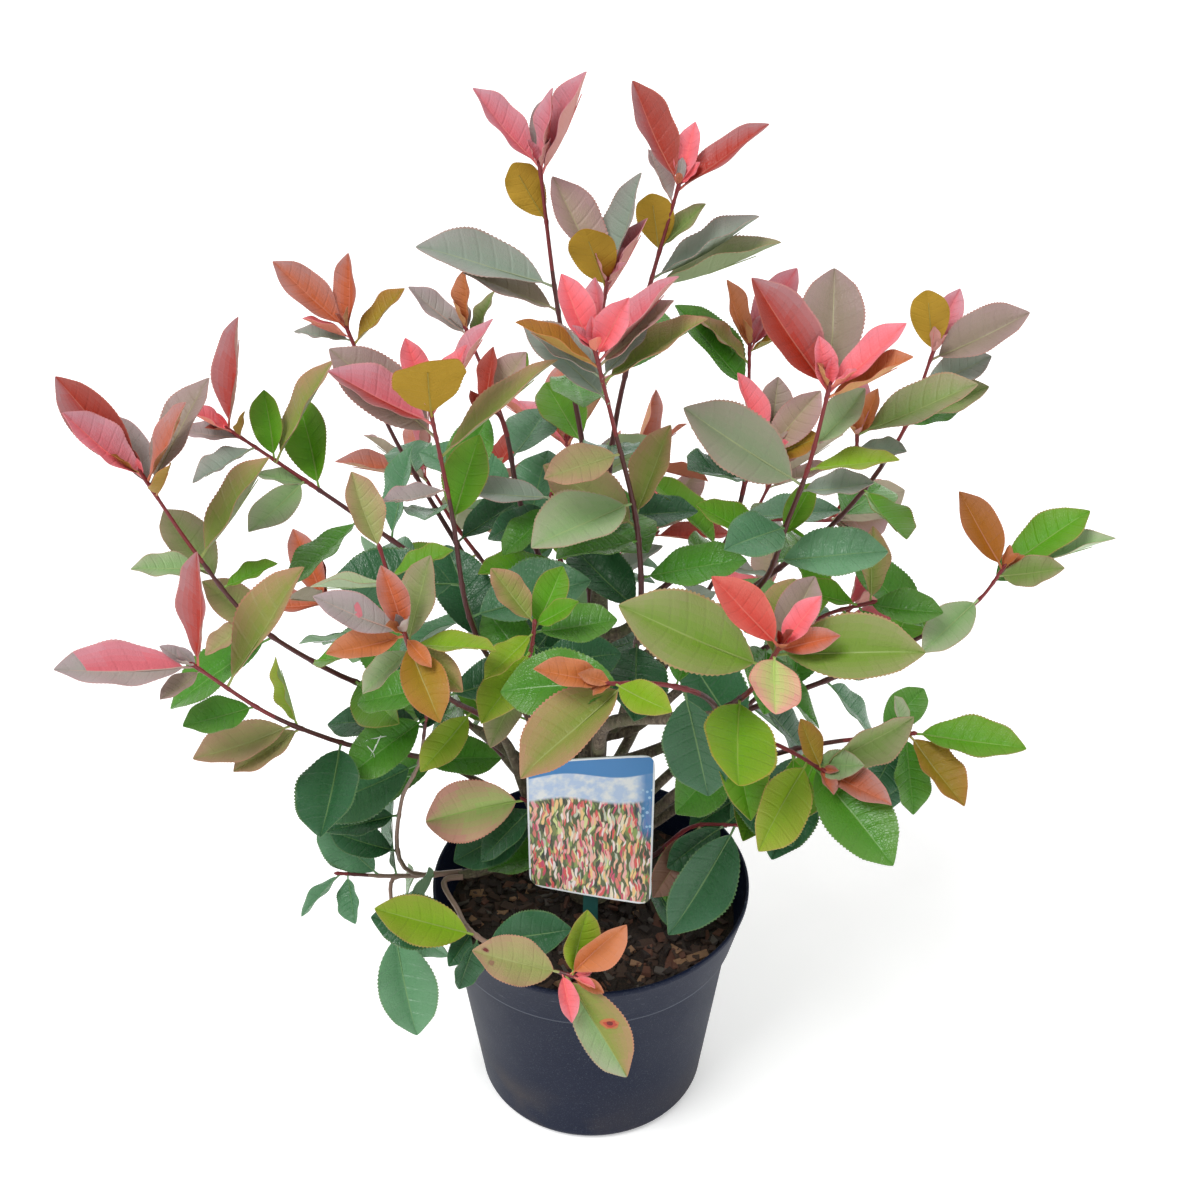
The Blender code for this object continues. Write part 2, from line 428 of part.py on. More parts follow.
def add_object(name, mesh, *materials, collection=None):
    """Links a mesh to the scene, or to a collection, as one named object."""
    for material in materials:
        mesh.materials.append(material)
    thing = bpy.data.objects.new(name, mesh)
    (collection or bpy.context.scene.collection).objects.link(thing)
    return thing


def mesh_from_shell(name, shell):
    """A mesh from (points, faces), with every face pointing outwards."""
    mesh = bpy.data.meshes.new(name)
    mesh.from_pydata([tuple(p) for p in shell[0]], [], shell[1])
    shape = bmesh.new()
    shape.from_mesh(mesh)
    bmesh.ops.triangulate(shape, faces=[f for f in shape.faces if len(f.verts) == 4])
    bmesh.ops.recalc_face_normals(shape, faces=shape.faces)
    shape.to_mesh(mesh)
    shape.free()
    return mesh


def turned(name, profile, segments):
    """A closed mesh turned round Z from a profile of (radius, height) that starts and ends on the axis."""
    shape = bmesh.new()
    points = [shape.verts.new((radius, 0.0, height)) for radius, height in profile]
    edges = [shape.edges.new(pair) for pair in zip(points, points[1:])]
    bmesh.ops.spin(shape, geom=points + edges, cent=(0, 0, 0), axis=(0, 0, 1), angle=2 * pi,
                   steps=segments, use_merge=True)
    bmesh.ops.remove_doubles(shape, verts=shape.verts, dist=1e-6)
    bmesh.ops.recalc_face_normals(shape, faces=shape.faces)
    mesh = bpy.data.meshes.new(name)
    shape.to_mesh(mesh)
    shape.free()
    return mesh


def arc(centre, radius, start, end, steps):
    """Points of an arc as (radius, height), angles in degrees from outwards, up positive."""
    turns = [radians(start + (end - start) * k / steps) for k in range(steps + 1)]
    return [(centre[0] + radius * cos(a), centre[1] + radius * sin(a)) for a in turns]


def build_pot():
    """The hollow pot: tapering body, stepped band, rounded lip and notches round the base."""
    band_foot = POT_HEIGHT - BAND_DEPTH
    lip = WALL / 2
    outer = [(0.0, 0.0), (BASE_RADIUS - BASE_ROUNDING, 0.0)]
    outer += arc((BASE_RADIUS - BASE_ROUNDING, BASE_ROUNDING), BASE_ROUNDING, -60, 0, 2)
    outer += [(BODY_TOP_RADIUS, band_foot - 0.002), (BAND_FOOT_RADIUS, band_foot),
              (RIM_RADIUS, POT_HEIGHT - 0.004)]
    top = arc((RIM_RADIUS - lip, POT_HEIGHT - lip), lip, 0, 180, 4)
    inner = [(BAND_FOOT_RADIUS - WALL, band_foot - 0.001), (BODY_TOP_RADIUS - WALL, band_foot - 0.004),
             (BASE_RADIUS - WALL - 0.004, FLOOR_THICKNESS), (0.0, FLOOR_THICKNESS)]
    pot = add_object("pot", turned("pot", outer + top + inner, ROUND_SEGMENTS),
                     make_material("slate_plastic", (0.055, 0.065, 0.085), 0.55))
    cutter = bpy.data.meshes.new("notches")
    shape = bmesh.new()
    reach = BASE_RADIUS - NOTCH_SIZE[0] / 2 + 0.0012
    for k in range(NOTCH_COUNT):
        place = Matrix.Rotation(2 * pi * (k + 0.5) / NOTCH_COUNT, 4, "Z") @ Matrix.Translation((reach, 0, 0))
        bmesh.ops.create_cube(shape, size=1.0, matrix=place @ Matrix.Diagonal((*NOTCH_SIZE, 1.0)))
    shape.to_mesh(cutter)
    shape.free()
    cuts = add_object("notch_cutter", cutter)
    cuts.hide_render = True
    cuts.display_type = "WIRE"
    carve = pot.modifiers.new("notches", "BOOLEAN")
    carve.operation = "DIFFERENCE"
    carve.object = cuts
    return pot


def inner_radius(height):
    """Radius of the pot's inner wall at a height, up to the foot of the band."""
    low = (BASE_RADIUS - WALL - 0.004, FLOOR_THICKNESS)
    high = (BODY_TOP_RADIUS - WALL, POT_HEIGHT - BAND_DEPTH - 0.004)
    return low[0] + (high[0] - low[0]) * (height - low[1]) / (high[1] - low[1])


def build_compost():
    """The filled-in bark compost, level round the trunk and a little lower at the wall."""
    band_foot = POT_HEIGHT - BAND_DEPTH
    edge = COMPOST_TOP - COMPOST_EDGE_DROP
    share = (edge - band_foot + 0.001) / (BAND_DEPTH - 0.0026)
    edge_radius = BAND_FOOT_RADIUS - WALL + share * (RIM_RADIUS - BAND_FOOT_RADIUS) - 2 * GAP
    profile = [(0.0, COMPOST_TOP), (COMPOST_FLAT_RADIUS, COMPOST_TOP), (edge_radius - 0.008, edge + 0.001),
               (edge_radius, edge), (BAND_FOOT_RADIUS - WALL - 2 * GAP, band_foot - 0.001),
               (inner_radius(band_foot - 0.004) - 2 * GAP, band_foot - 0.004),
               (inner_radius(FLOOR_THICKNESS) - 2 * GAP, FLOOR_THICKNESS + GAP), (0.0, FLOOR_THICKNESS + GAP)]
    return add_object("compost", turned("compost", profile, ROUND_SEGMENTS),
                      make_material("bark_compost", (0.035, 0.018, 0.012), 0.9))


def card_place(across, depth, level):
    """A place on the twisted card, from its middle: across, behind the face and up."""
    share = across / CARD_SIZE[0] + 0.5
    lean = CARD_LEANS[0] + (CARD_LEANS[1] - CARD_LEANS[0]) * share
    local = Vector((across, depth * cos(lean) + level * sin(lean), level * cos(lean) - depth * sin(lean)))
    return Vector(CARD_CENTRE) + Matrix.Rotation(CARD_TURN, 3, "Z") @ local


def build_label():
    """The plant label: a thin card with rounded corners, twisted a little, before a plain strip stake."""
    width, thickness, height = CARD_SIZE
    steps = (-1.0, -0.7, 0.0)
    columns = [side * (width / 2 - CARD_CORNER) + side * CARD_CORNER * abs(s) for side, order in
               ((-1, steps), (1, steps[::-1])) for s in order]
    rows = [side * (height / 2 - CARD_CORNER) + side * CARD_CORNER * abs(s) for side, order in
            ((-1, steps), (1, steps[::-1])) for s in order]
    columns.insert(3, 0.0)
    rows.insert(3, 0.0)
    shape = bmesh.new()
    grid = [[shape.verts.new((x, 0, z)) for z in rows] for x in columns]
    for a, b in zip(grid, grid[1:]):
        for k in range(len(rows) - 1):
            shape.faces.new((a[k], b[k], b[k + 1], a[k + 1]))
    for vert in shape.verts:
        over = [max(0.0, abs(value) - (size / 2 - CARD_CORNER)) for value, size in
                ((vert.co.x, width), (vert.co.z, height))]
        reach = Vector(over).length
        if min(over) > 0:
            shrink = 1 - max(over) / reach
            vert.co.x -= over[0] * shrink * (1 if vert.co.x > 0 else -1)
            vert.co.z -= over[1] * shrink * (1 if vert.co.z > 0 else -1)
    front = list(shape.faces)
    sheet = bmesh.ops.extrude_face_region(shape, geom=front, use_keep_orig=True)
    behind = {v for v in sheet["geom"] if isinstance(v, bmesh.types.BMVert)}
    for vert in shape.verts:
        depth = thickness / 2 if vert in behind else -thickness / 2
        vert.co = card_place(vert.co.x, depth, vert.co.z)
    bmesh.ops.recalc_face_normals(shape, faces=shape.faces)
    mesh = bpy.data.meshes.new("label_card")
    shape.to_mesh(mesh)
    shape.free()
    card = add_object("label_card", mesh, make_material("printed_card", (0.55, 0.45, 0.42), 0.35))

    depth = thickness / 2 + GAP + STAKE_THICKNESS
    top = card_place(0.0, depth, STAKE_TOP - CARD_CENTRE[2])
    foot = card_place(0.0, depth, -height / 2)
    foot.z = COMPOST_TOP + GAP
    shape = bmesh.new()
    bmesh.ops.create_cube(shape, size=1.0)
    for vert in shape.verts:
        end = top if vert.co.z > 0 else foot
        spread = Vector((vert.co.x * STAKE_WIDTH, vert.co.y * STAKE_THICKNESS, 0))
        vert.co = end + Matrix.Rotation(CARD_TURN, 3, "Z") @ spread
    mesh = bpy.data.meshes.new("label_stake")
    shape.to_mesh(mesh)
    shape.free()
    add_object("label_stake", mesh, make_material("teal_plastic", (0.02, 0.09, 0.08), 0.45))
    return card


def smooth_curve(knots):
    """A smooth curve through the knots, sampled evenly in each span. Short spans bend least."""
    knots = [Vector(k) for k in knots]
    slopes = [(b - a).normalized() for a, b in zip(knots, knots[1:])]
    lengths = [(b - a).length for a, b in zip(knots, knots[1:])]
    tangents = [slopes[0]]
    for k in range(1, len(slopes)):
        whole = lengths[k - 1] + lengths[k]
        tangents.append(slopes[k] * (lengths[k - 1] / whole) + slopes[k - 1] * (lengths[k] / whole))
    tangents.append(slopes[-1])
    points = []
    for k, length in enumerate(lengths):
        for step in range(SAMPLES_PER_SPAN):
            t = step / SAMPLES_PER_SPAN
            pull = t * t * (3 - 2 * t)
            points.append(knots[k] * (1 - pull) + knots[k + 1] * pull
                          + tangents[k] * (length * t * (1 - t) ** 2)
                          - tangents[k + 1] * (length * t * t * (1 - t)))
    return points + [knots[-1]]


def place_back(points, back):
    """Place and heading on a curve, a distance back from its tip."""
    for a, b in zip(points[::-1], points[-2::-1]):
        span = (a - b).length
        if back <= span:
            return a + (b - a) * (back / span), (a - b).normalized()
        back -= span
    return points[0].copy(), (points[1] - points[0]).normalized()


def headings_of(points):
    """The heading of a curve at each of its points."""
    last = len(points) - 1
    return [(points[min(k + 1, last)] - points[max(k - 1, 0)]).normalized() for k in range(last + 1)]


def kept_steps(points, slack, first=0, last=None):
    """Indices of the points that a polyline needs to stay within the slack of the whole curve."""
    last = len(points) - 1 if last is None else last
    line = points[last] - points[first]
    far, where = slack, None
    for k in range(first + 1, last):
        share = min(1.0, max(0.0, (points[k] - points[first]).dot(line) / line.length_squared))
        off = (points[k] - points[first] - line * share).length
        if off > far:
            far, where = off, k
    if where is None:
        return [first, last]
    return kept_steps(points, slack, first, where)[:-1] + kept_steps(points, slack, where, last)


def tube_shell(points, headings, radii, sides):
    """A closed tapering tube along points, as (points, faces). Its ends are square to the headings."""
    shell, faces = [], []
    heading = headings[0]
    across = heading.orthogonal().normalized()
    for point, turned_to, radius in zip(points, headings, radii):
        across = (heading.rotation_difference(turned_to) @ across).normalized()
        heading = turned_to
        beside = heading.cross(across)
        for s in range(sides):
            angle = 2 * pi * s / sides
            shell.append(point + radius * (across * cos(angle) + beside * sin(angle)))
    for k in range(len(points) - 1):
        for s in range(sides):
            a, b = k * sides + s, k * sides + (s + 1) % sides
            faces.append((a, b, b + sides, a + sides))
    faces.append(tuple(range(sides))[::-1])
    faces.append(tuple(range(len(shell) - sides, len(shell))))
    return shell, faces


def tree_of(shell):
    return BVHTree.FromPolygons(shell[0], shell[1])


def taper(points, start, end):
    """Radii that shrink evenly with the distance along points."""
    lengths = [0.0]
    for a, b in zip(points, points[1:]):
        lengths.append(lengths[-1] + (b - a).length)
    return [start + (end - start) * d / lengths[-1] for d in lengths]


def clear_of(tree, centre, heading, radius, gap):
    """Whether a flat disc is outside a closed shape by at least the gap."""
    across = heading.orthogonal().normalized()
    beside = heading.cross(across)
    spots = [centre] + [centre + radius * share * (across * cos(k * pi / 4) + beside * sin(k * pi / 4))
                        for k in range(8) for share in (0.5, 1.0)]
    for spot in spots:
        near, normal, _, distance = tree.find_nearest(spot)
        if distance < gap or (spot - near).dot(normal) < 0:
            return False
    return True


def trunk_at(height):
    """Centre and radius of the trunk at a height."""
    for (low, low_radius), (high, high_radius) in zip(TRUNK, TRUNK[1:]):
        if height <= high[2]:
            share = (height - low[2]) / (high[2] - low[2])
            return Vector(low).lerp(Vector(high), share), low_radius + (high_radius - low_radius) * share
    return Vector(TRUNK[-1][0]), TRUNK[-1][1]


def start_on_trunk(trunk_tree, height, towards, radius):
    """Where a limb of this radius can start, square to the trunk and just clear of it."""
    centre, trunk_radius = trunk_at(height)
    outward = Vector((towards[0] - centre.x, towards[1] - centre.y, 0)).normalized()
    shoulder = outward * SHOULDER[0] + Vector((0, 0, SHOULDER[1]))
    out = trunk_radius * 0.8
    while not clear_of(trunk_tree, centre + outward * out, shoulder.normalized(), radius, GAP):
        out += SEAT_STEP
    start = centre + outward * out
    return start, start + shoulder


def limb_curves(trunk_tree):
    """The trunk's and boughs' curves, each with the radii and the knots that a mass grows on from."""
    limbs = {}
    for name, (height, root_radius, tip_radius, places) in BOUGHS.items():
        start, shoulder = start_on_trunk(trunk_tree, height, places[0], root_radius)
        limbs[name] = {"knots": [start, shoulder] + [Vector(p) for p in places],
                       "radii": (root_radius, tip_radius)}
    return limbs


def clock_heading(clock, towards):
    """A heading from the angle of a clock hand and the angle at which it stands towards the viewer."""
    clock, towards = radians(clock), radians(towards)
    right = Vector((1, 0, 0))
    upward = Vector((0, sin(LOOK_DOWN), cos(LOOK_DOWN)))
    flat = right * sin(clock) + upward * cos(clock)
    return flat * cos(towards) + VIEWER * sin(towards)


def make_leaf(base, heading, axis, length, tint, dice, seen=None):
    """One leaf's placing. Its upper face looks along the stem and up, with a small seeded twist, unless
    a share of its width is given that the front sees, below nought for the underside."""
    width, bend, _ = AGES[TINTS[tint][0]]
    up = axis * FACE_PULL[0] + Vector((0, 0, FACE_PULL[1])) + VIEWER * FACE_PULL[2]
    face = (up - heading * up.dot(heading)).normalized()
    twist = radians(dice.uniform(-14, 14))
    if seen is None:
        face = Quaternion(heading, twist) @ face
    else:
        opened = (VIEWER - heading * VIEWER.dot(heading)).normalized()
        edge = heading.cross(opened)
        face = opened * seen + edge * copysign(sqrt(1 - seen * seen), face.dot(edge))
    return {"base": base, "heading": heading, "face": face, "length": length, "tint": tint,
            "width": length * width * dice.uniform(0.94, 1.08), "bend": bend * dice.uniform(0.3, 1.6)}


def leaf_shell(leaf, margin=0.0, from_share=0.0):
    """The blade as a closed shell with a keel below, which narrows to a point sunk in its stem."""
    base, heading, face = leaf["base"], leaf["heading"], leaf["face"]
    side = heading.cross(face)
    length = leaf["length"]

    def spine(share):
        return base + heading * (share * length) - face * (leaf["bend"] * length * share * share)

    points = [spine(from_share) - heading * (ROOT_DEPTH if from_share == 0 else 0)]
    for share, width in BLADE:
        half = leaf["width"] / 2 * width + margin
        middle = spine(share) + face * margin
        points += [middle - side * half, middle + side * half,
                   middle - face * (length * LEAF_THICKNESS + 2 * margin)]
    points.append(spine(1.0) + heading * margin)
    faces = [(0, 1 + k, 1 + (k + 1) % 3) for k in range(3)]
    for k in range(3):
        a, b = 1 + k, 1 + (k + 1) % 3
        faces += [(a, a + 3, b), (b, a + 3, b + 3)]
    faces += [(7, 4 + (k + 1) % 3, 4 + k) for k in range(3)]
    return points, faces


def place_listed(entry, curve, index, dice):
    """A leaf read from a shoot's list."""
    back, clock, towards, length, tint, *seen = entry
    base, axis = place_back(curve, back / 100 + ROSETTE_STEP * (index if back < 1 else 0))
    return make_leaf(base, clock_heading(clock, towards), axis, length / 100, tint, dice, *seen)


def place_dealt(back, turn, lift, length, tint, curve, dice):
    """A leaf dealt out round the stem."""
    base, axis = place_back(curve, back)
    across = axis.orthogonal().normalized()
    outward = Quaternion(axis, turn) @ across
    heading = outward * cos(lift) + axis * sin(lift)
    return make_leaf(base, heading.normalized(), axis, length, tint, dice)


def fits(leaf, outside, own):
    """Whether a leaf stays clear of everything outside its mass and of its own mass's leaves."""
    whole = tree_of(leaf_shell(leaf, LEAF_CLEARANCE))
    if any(whole.overlap(tree) for tree in outside):
        return False
    blade = tree_of(leaf_shell(leaf, 0.0, 0.22))
    return not any(blade.overlap(tree) for tree in own)


NUDGES = ((0, 0), (6, 0), (-6, 0), (0, 9), (0, -9), (10, 8), (-10, 8), (10, -8), (-10, -8),
          (0, 18), (0, -18), (18, 0), (-18, 0), (16, 16), (-16, 16), (16, -16), (-16, -16))


def grow_mass(number, curves, shoots, outside):
    """The leaves of one mass: those listed first, then those dealt out by the golden angle."""
    dice = Random(SEED + number)
    leaves, own = [], []

    def keep(leaf):
        leaves.append(leaf)
        own.append(tree_of(leaf_shell(leaf, 0.0, 0.22)))

    for curve, shoot in zip(curves, shoots):
        for index, entry in enumerate(shoot["leaves"]):
            back, clock, towards = entry[:3]
            for turn, tilt in NUDGES:
                leaf = place_listed((back, clock + turn, towards + tilt, *entry[3:]), curve, index, dice)
                if fits(leaf, outside, own):
                    keep(leaf)
                    break
            else:
                print("left out", number, entry)
    for curve, shoot in zip(curves, shoots):
        reach = sum((a - b).length for a, b in zip(curve, curve[1:]))
        phase = dice.uniform(0, 2 * pi)
        count = shoot.get("young", 0)
        for k in range(count + shoot.get("extra", 0)):
            at_tip = k < count
            first = 0.025 if count else reach * LISTED_SHARE
            share = (k - count + 0.5) / max(1, shoot.get("extra", 0))
            back = ROSETTE_STEP * k if at_tip else first + share * (reach - 0.012 - first)
            lift = radians(dice.uniform(42, 62) if at_tip else dice.uniform(8, 34))
            length = dice.uniform(0.062, 0.082) if at_tip else dice.uniform(0.072, 0.098)
            low = STEM_TINTS if count else LOW_TINTS
            tint = dice.choice(YOUNG_TINTS if at_tip else shoot.get("tints", low))
            for attempt in range(7):
                turn = phase + GOLDEN_TURN * k + radians(48) * attempt
                leaf = place_dealt(back, turn, lift, length, tint, curve, dice)
                if fits(leaf, outside, own):
                    keep(leaf)
                    break
    return leaves


def grown_curve(name, limbs):
    """A bough's curve, run on through the first mass that grows from it."""
    first = next(shoots for carrier, _, shoots in MASSES.values() if carrier == name)
    return smooth_curve(limbs[name]["knots"] + [Vector(p) for p in first[0]["path"]])


def tip_of(name, limbs):
    """Where a carrier ends and its heading there."""
    if name == "trunk":
        curve = smooth_curve([p for p, _ in TRUNK])
        return curve[-1], headings_of(curve)[-1]
    end = (len(limbs[name]["knots"]) - 1) * SAMPLES_PER_SPAN
    whole = grown_curve(name, limbs)
    return whole[end], headings_of(whole)[end]


def mass_curves(name, limbs, trunk_tree):
    """The curves of a mass's shoots. The first starts at its carrier, just clear of it."""
    carrier, side, shoots = MASSES[name]
    path = [Vector(p) for p in shoots[0]["path"]]
    if carrier == "trunk_side":
        height, direction = side
        towards = trunk_at(height)[0] + Vector((*direction, 0))
        start, shoulder = start_on_trunk(trunk_tree, height, towards, STEM_ROOT_RADIUS)
        main = smooth_curve([start, shoulder] + path)
        heading = (shoulder - start).normalized()
    else:
        tip, heading = tip_of(carrier, limbs)
        offset = Vector(side)
        start = tip + offset - heading * offset.dot(heading) + heading * (GAP + SEAT_STEP)
        main = smooth_curve([start, start + heading * STEM_LEAD] + path)
    curves = [(main, heading)]
    for shoot in shoots[1:]:
        base, heading = place_back(main, shoot["fork"])
        curve = smooth_curve([base, base + heading * STEM_LEAD] + [Vector(p) for p in shoot["path"]])
        curves.append((curve, heading))
    return curves


def tapering_tube(curve, first, last, ends, sides):
    """A tube along a curve, with given headings at its two ends."""
    headings = headings_of(curve)
    headings[0] = first or headings[0]
    headings[-1] = last or headings[-1]
    steps = kept_steps(curve, TUBE_SLACK)
    points = [curve[k] for k in steps]
    return tube_shell(points, [headings[k] for k in steps], taper(points, *ends), sides)


def stem_shells(curves):
    """The stems of a mass as tubes."""
    return [tapering_tube(curve, heading, None, (STEM_ROOT_RADIUS * (1 if k == 0 else 0.8), STEM_TIP_RADIUS),
                          TWIG_SIDES) for k, (curve, heading) in enumerate(curves)]


def largest_body(mesh):
    """Keeps the largest closed body of a mesh and drops any loose scrap or sealed hollow."""
    shape = bmesh.new()
    shape.from_mesh(mesh)
    bmesh.ops.triangulate(shape, faces=shape.faces)
    waiting = set(shape.faces)
    bodies = []
    while waiting:
        body, edge_of_search = set(), [waiting.pop()]
        while edge_of_search:
            face = edge_of_search.pop()
            body.add(face)
            for edge in face.edges:
                for other in edge.link_faces:
                    if other in waiting:
                        waiting.discard(other)
                        edge_of_search.append(other)
        bodies.append(body)
    bodies.sort(key=len, reverse=True)
    for scrap in bodies[1:]:
        bmesh.ops.delete(shape, geom=list(scrap), context="FACES")
    shape.to_mesh(mesh)
    shape.free()
    return len(bodies)


def build_mass(name, stems, leaves, bark):
    """Joins a mass's stems and leaves into one solid by a single union on a collection."""
    parts = bpy.data.collections.new(name + "_parts")
    bpy.context.scene.collection.children.link(parts)
    mass = add_object(name, mesh_from_shell(name, stems[0]), bark)
    for shell in stems[1:]:
        add_object("side_stem", mesh_from_shell("side_stem", shell), bark, collection=parts)
    for leaf in leaves:
        age, colour = TINTS[leaf["tint"]]
        tint = make_material("leaf_" + leaf["tint"], colour, AGES[age][2])
        add_object("leaf", mesh_from_shell("leaf", leaf_shell(leaf)), tint, collection=parts)
    union = mass.modifiers.new("join", "BOOLEAN")
    union.operation = "UNION"
    union.operand_type = "COLLECTION"
    union.collection = parts
    union.solver = "EXACT"
    union.material_mode = "TRANSFER"
    bpy.context.view_layer.update()
    joined = bpy.data.meshes.new_from_object(mass.evaluated_get(bpy.context.evaluated_depsgraph_get()))
    mass.modifiers.clear()
    mass.data = joined
    for thing in list(parts.objects):
        bpy.data.objects.remove(thing)
    bpy.data.collections.remove(parts)
    pieces = largest_body(joined)
    print(name, "leaves", len(leaves), "triangles", len(joined.polygons), "bodies", pieces)
    return mass


def main():
    for thing in list(bpy.data.objects):
        bpy.data.objects.remove(thing)
    pot = build_pot()
    compost = build_compost()
    card = build_label()
    bark = make_material("young_bark", (0.16, 0.03, 0.03), 0.5)
    wood = make_material("woody_bark", (0.17, 0.10, 0.07), 0.8)

    centres = smooth_curve([p for p, _ in TRUNK])
    widths = [r for _, r in TRUNK] + [TRUNK[-1][1]]
    radii = []
    for k in range(len(centres)):
        span, share = divmod(k, SAMPLES_PER_SPAN)
        radii.append(widths[span] + (widths[span + 1] - widths[span]) * share / SAMPLES_PER_SPAN)
    headings = headings_of(centres)
    headings[0] = Vector((0, 0, 1))
    steps = range(0, len(centres), SAMPLES_PER_SPAN // 2)
    trunk_shell = tube_shell([centres[k] for k in steps], [headings[k] for k in steps],
                             [radii[k] for k in steps], TRUNK_SIDES)
    trunk = add_object("trunk", mesh_from_shell("trunk", trunk_shell), wood)
    trunk.data.shade_smooth()
    trunk_tree = tree_of(trunk_shell)

    limbs = limb_curves(trunk_tree)
    solids = [tree_of(trunk_shell)]
    bpy.context.view_layer.update()
    graph = bpy.context.evaluated_depsgraph_get()
    for thing in (pot, compost, card, bpy.data.objects["label_stake"]):
        mesh = thing.evaluated_get(graph).to_mesh()
        points = [thing.matrix_world @ v.co for v in mesh.vertices]
        solids.append(BVHTree.FromPolygons(points, [tuple(p.vertices) for p in mesh.polygons]))
    for name in BOUGHS:
        curve = grown_curve(name, limbs)[:(len(limbs[name]["knots"]) - 1) * SAMPLES_PER_SPAN + 1]
        shell = tapering_tube(curve, None, tip_of(name, limbs)[1], limbs[name]["radii"], BOUGH_SIDES)
        add_object(name, mesh_from_shell(name, shell), wood).data.shade_smooth()
        tree = tree_of(shell)
        hits = [k for k, other in enumerate(solids) if tree.overlap(other)]
        if hits:
            print("bough", name, "touches", hits)
        solids.append(tree)

    curves = {name: mass_curves(name, limbs, trunk_tree) for name in MASSES}
    stems = {name: stem_shells(curves[name]) for name in MASSES}
    stem_trees = {name: [tree_of(shell) for shell in stems[name]] for name in MASSES}
    names = list(MASSES)
    for k, name in enumerate(names):
        for tree in stem_trees[name]:
            if any(tree.overlap(other) for other in solids):
                print("stem of", name, "touches", [i for i, o in enumerate(solids) if tree.overlap(o)])
            for other in names[k + 1:]:
                if any(tree.overlap(t) for t in stem_trees[other]):
                    print("stem of", name, "touches stem of", other)
    grown = []
    total = 0
    for number, name in enumerate(names):
        outside = solids + grown + [t for other in names if other != name for t in stem_trees[other]]
        lines = [[curve[k] for k in kept_steps(curve, TUBE_SLACK)] for curve, _ in curves[name]]
        leaves = grow_mass(number, lines, MASSES[name][2], outside)
        grown += [tree_of(leaf_shell(leaf)) for leaf in leaves]
        build_mass(name, stems[name], leaves, bark)
        total += len(leaves)
    print("leaves in all", total)


main()
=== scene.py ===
from math import ceil, copysign, cos, exp, pi, radians, sin, sqrt, tan
from random import Random

import bmesh
import bpy
import numpy as np
from mathutils import Matrix, Quaternion, Vector, noise
from mathutils.bvhtree import BVHTree


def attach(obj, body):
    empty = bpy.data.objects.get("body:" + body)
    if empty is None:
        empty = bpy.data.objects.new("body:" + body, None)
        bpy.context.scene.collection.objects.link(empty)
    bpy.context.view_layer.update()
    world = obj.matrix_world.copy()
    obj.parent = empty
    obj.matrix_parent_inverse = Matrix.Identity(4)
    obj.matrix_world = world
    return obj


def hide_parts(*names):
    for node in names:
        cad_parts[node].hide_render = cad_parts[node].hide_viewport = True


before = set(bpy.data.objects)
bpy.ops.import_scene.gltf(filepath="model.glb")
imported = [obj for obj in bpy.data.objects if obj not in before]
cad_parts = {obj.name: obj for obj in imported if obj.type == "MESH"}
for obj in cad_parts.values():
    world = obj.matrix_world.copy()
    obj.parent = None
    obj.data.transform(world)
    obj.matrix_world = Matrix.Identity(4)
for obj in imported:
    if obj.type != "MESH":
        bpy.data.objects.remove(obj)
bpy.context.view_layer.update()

# The growth rule's sizes, metres
growth = {
    "gap": 0.0003, "seatStep": 0.0001, "shoulder": (0.009, 0.003), "leafClearance": 0.0007,
    "goldenTurn": radians(137.5), "seed": 41, "samples": 8, "slack": 0.0010,
    "rootRadius": 0.0027, "tipRadius": 0.0017, "lead": 0.008, "rootDepth": 0.0012,
    "leafThickness": 0.020, "rosetteStep": 0.0022, "listedShare": 0.40, "forkShare": 0.8,
    "blade": ((0.37, 0.93), (0.72, 0.88)), "facePull": (0.9, 0.5, 0.25),
    "twist": 14, "ownShare": 0.22, "tries": 7, "tryTurn": radians(48), "firstBack": 0.025,
    "footMargin": 0.012, "dealtLift": {"tip": (42, 62), "side": (8, 34)},
    "dealtLength": {"tip": (0.062, 0.082), "side": (0.072, 0.098)},
}
lookDown = radians(35)  # the line of sight that the leaves' clock readings belong to
viewer = Vector((0, -cos(lookDown), sin(lookDown)))

# Leaf ages: width over length, bend of the tip, fold along the rib in degrees, how the halves curve,
# outline (foot and tip powers, how much the tip is drawn in), relief, finish, and how the margin and the rib
# lean away from the blade's colour
ages = {
    "young": {"width": 0.38, "bend": 0.03, "fold": (26, 40), "cup": 0.30, "outline": (0.90, 0.80, 0.25),
              "quilt": 0.00036, "teeth": 0.010, "roughness": 0.40, "gloss": 0.25,
              "margin": ((0.75, 0.24, 0.14), 0.20), "rib": ((0.72, 0.34, 0.26), 0.30)},
    "middle": {"width": 0.46, "bend": 0.08, "fold": (18, 32), "cup": 0.0, "outline": (0.86, 0.76, 0.30),
               "quilt": 0.00056, "teeth": 0.022, "roughness": 0.40, "gloss": 0.25,
               "margin": ((0.55, 0.20, 0.14), 0.30), "rib": ((0.46, 0.48, 0.22), 0.30)},
    "old": {"width": 0.53, "bend": 0.12, "fold": (10, 24), "cup": -0.35, "outline": (0.82, 0.74, 0.30),
            "quilt": 0.00065, "teeth": 0.024, "roughness": 0.28, "gloss": 0.32,
            "margin": ((0.16, 0.24, 0.07), 0.30), "rib": ((0.26, 0.40, 0.14), 0.34)},
    "broad": {"width": 0.60, "bend": 0.09, "fold": (9, 20), "cup": -0.10, "outline": (0.80, 0.58, 0.30),
              "quilt": 0.00056, "teeth": 0.020, "roughness": 0.40, "gloss": 0.24,
              "margin": ((0.62, 0.16, 0.08), 0.25), "rib": ((0.42, 0.44, 0.12), 0.30)},
}

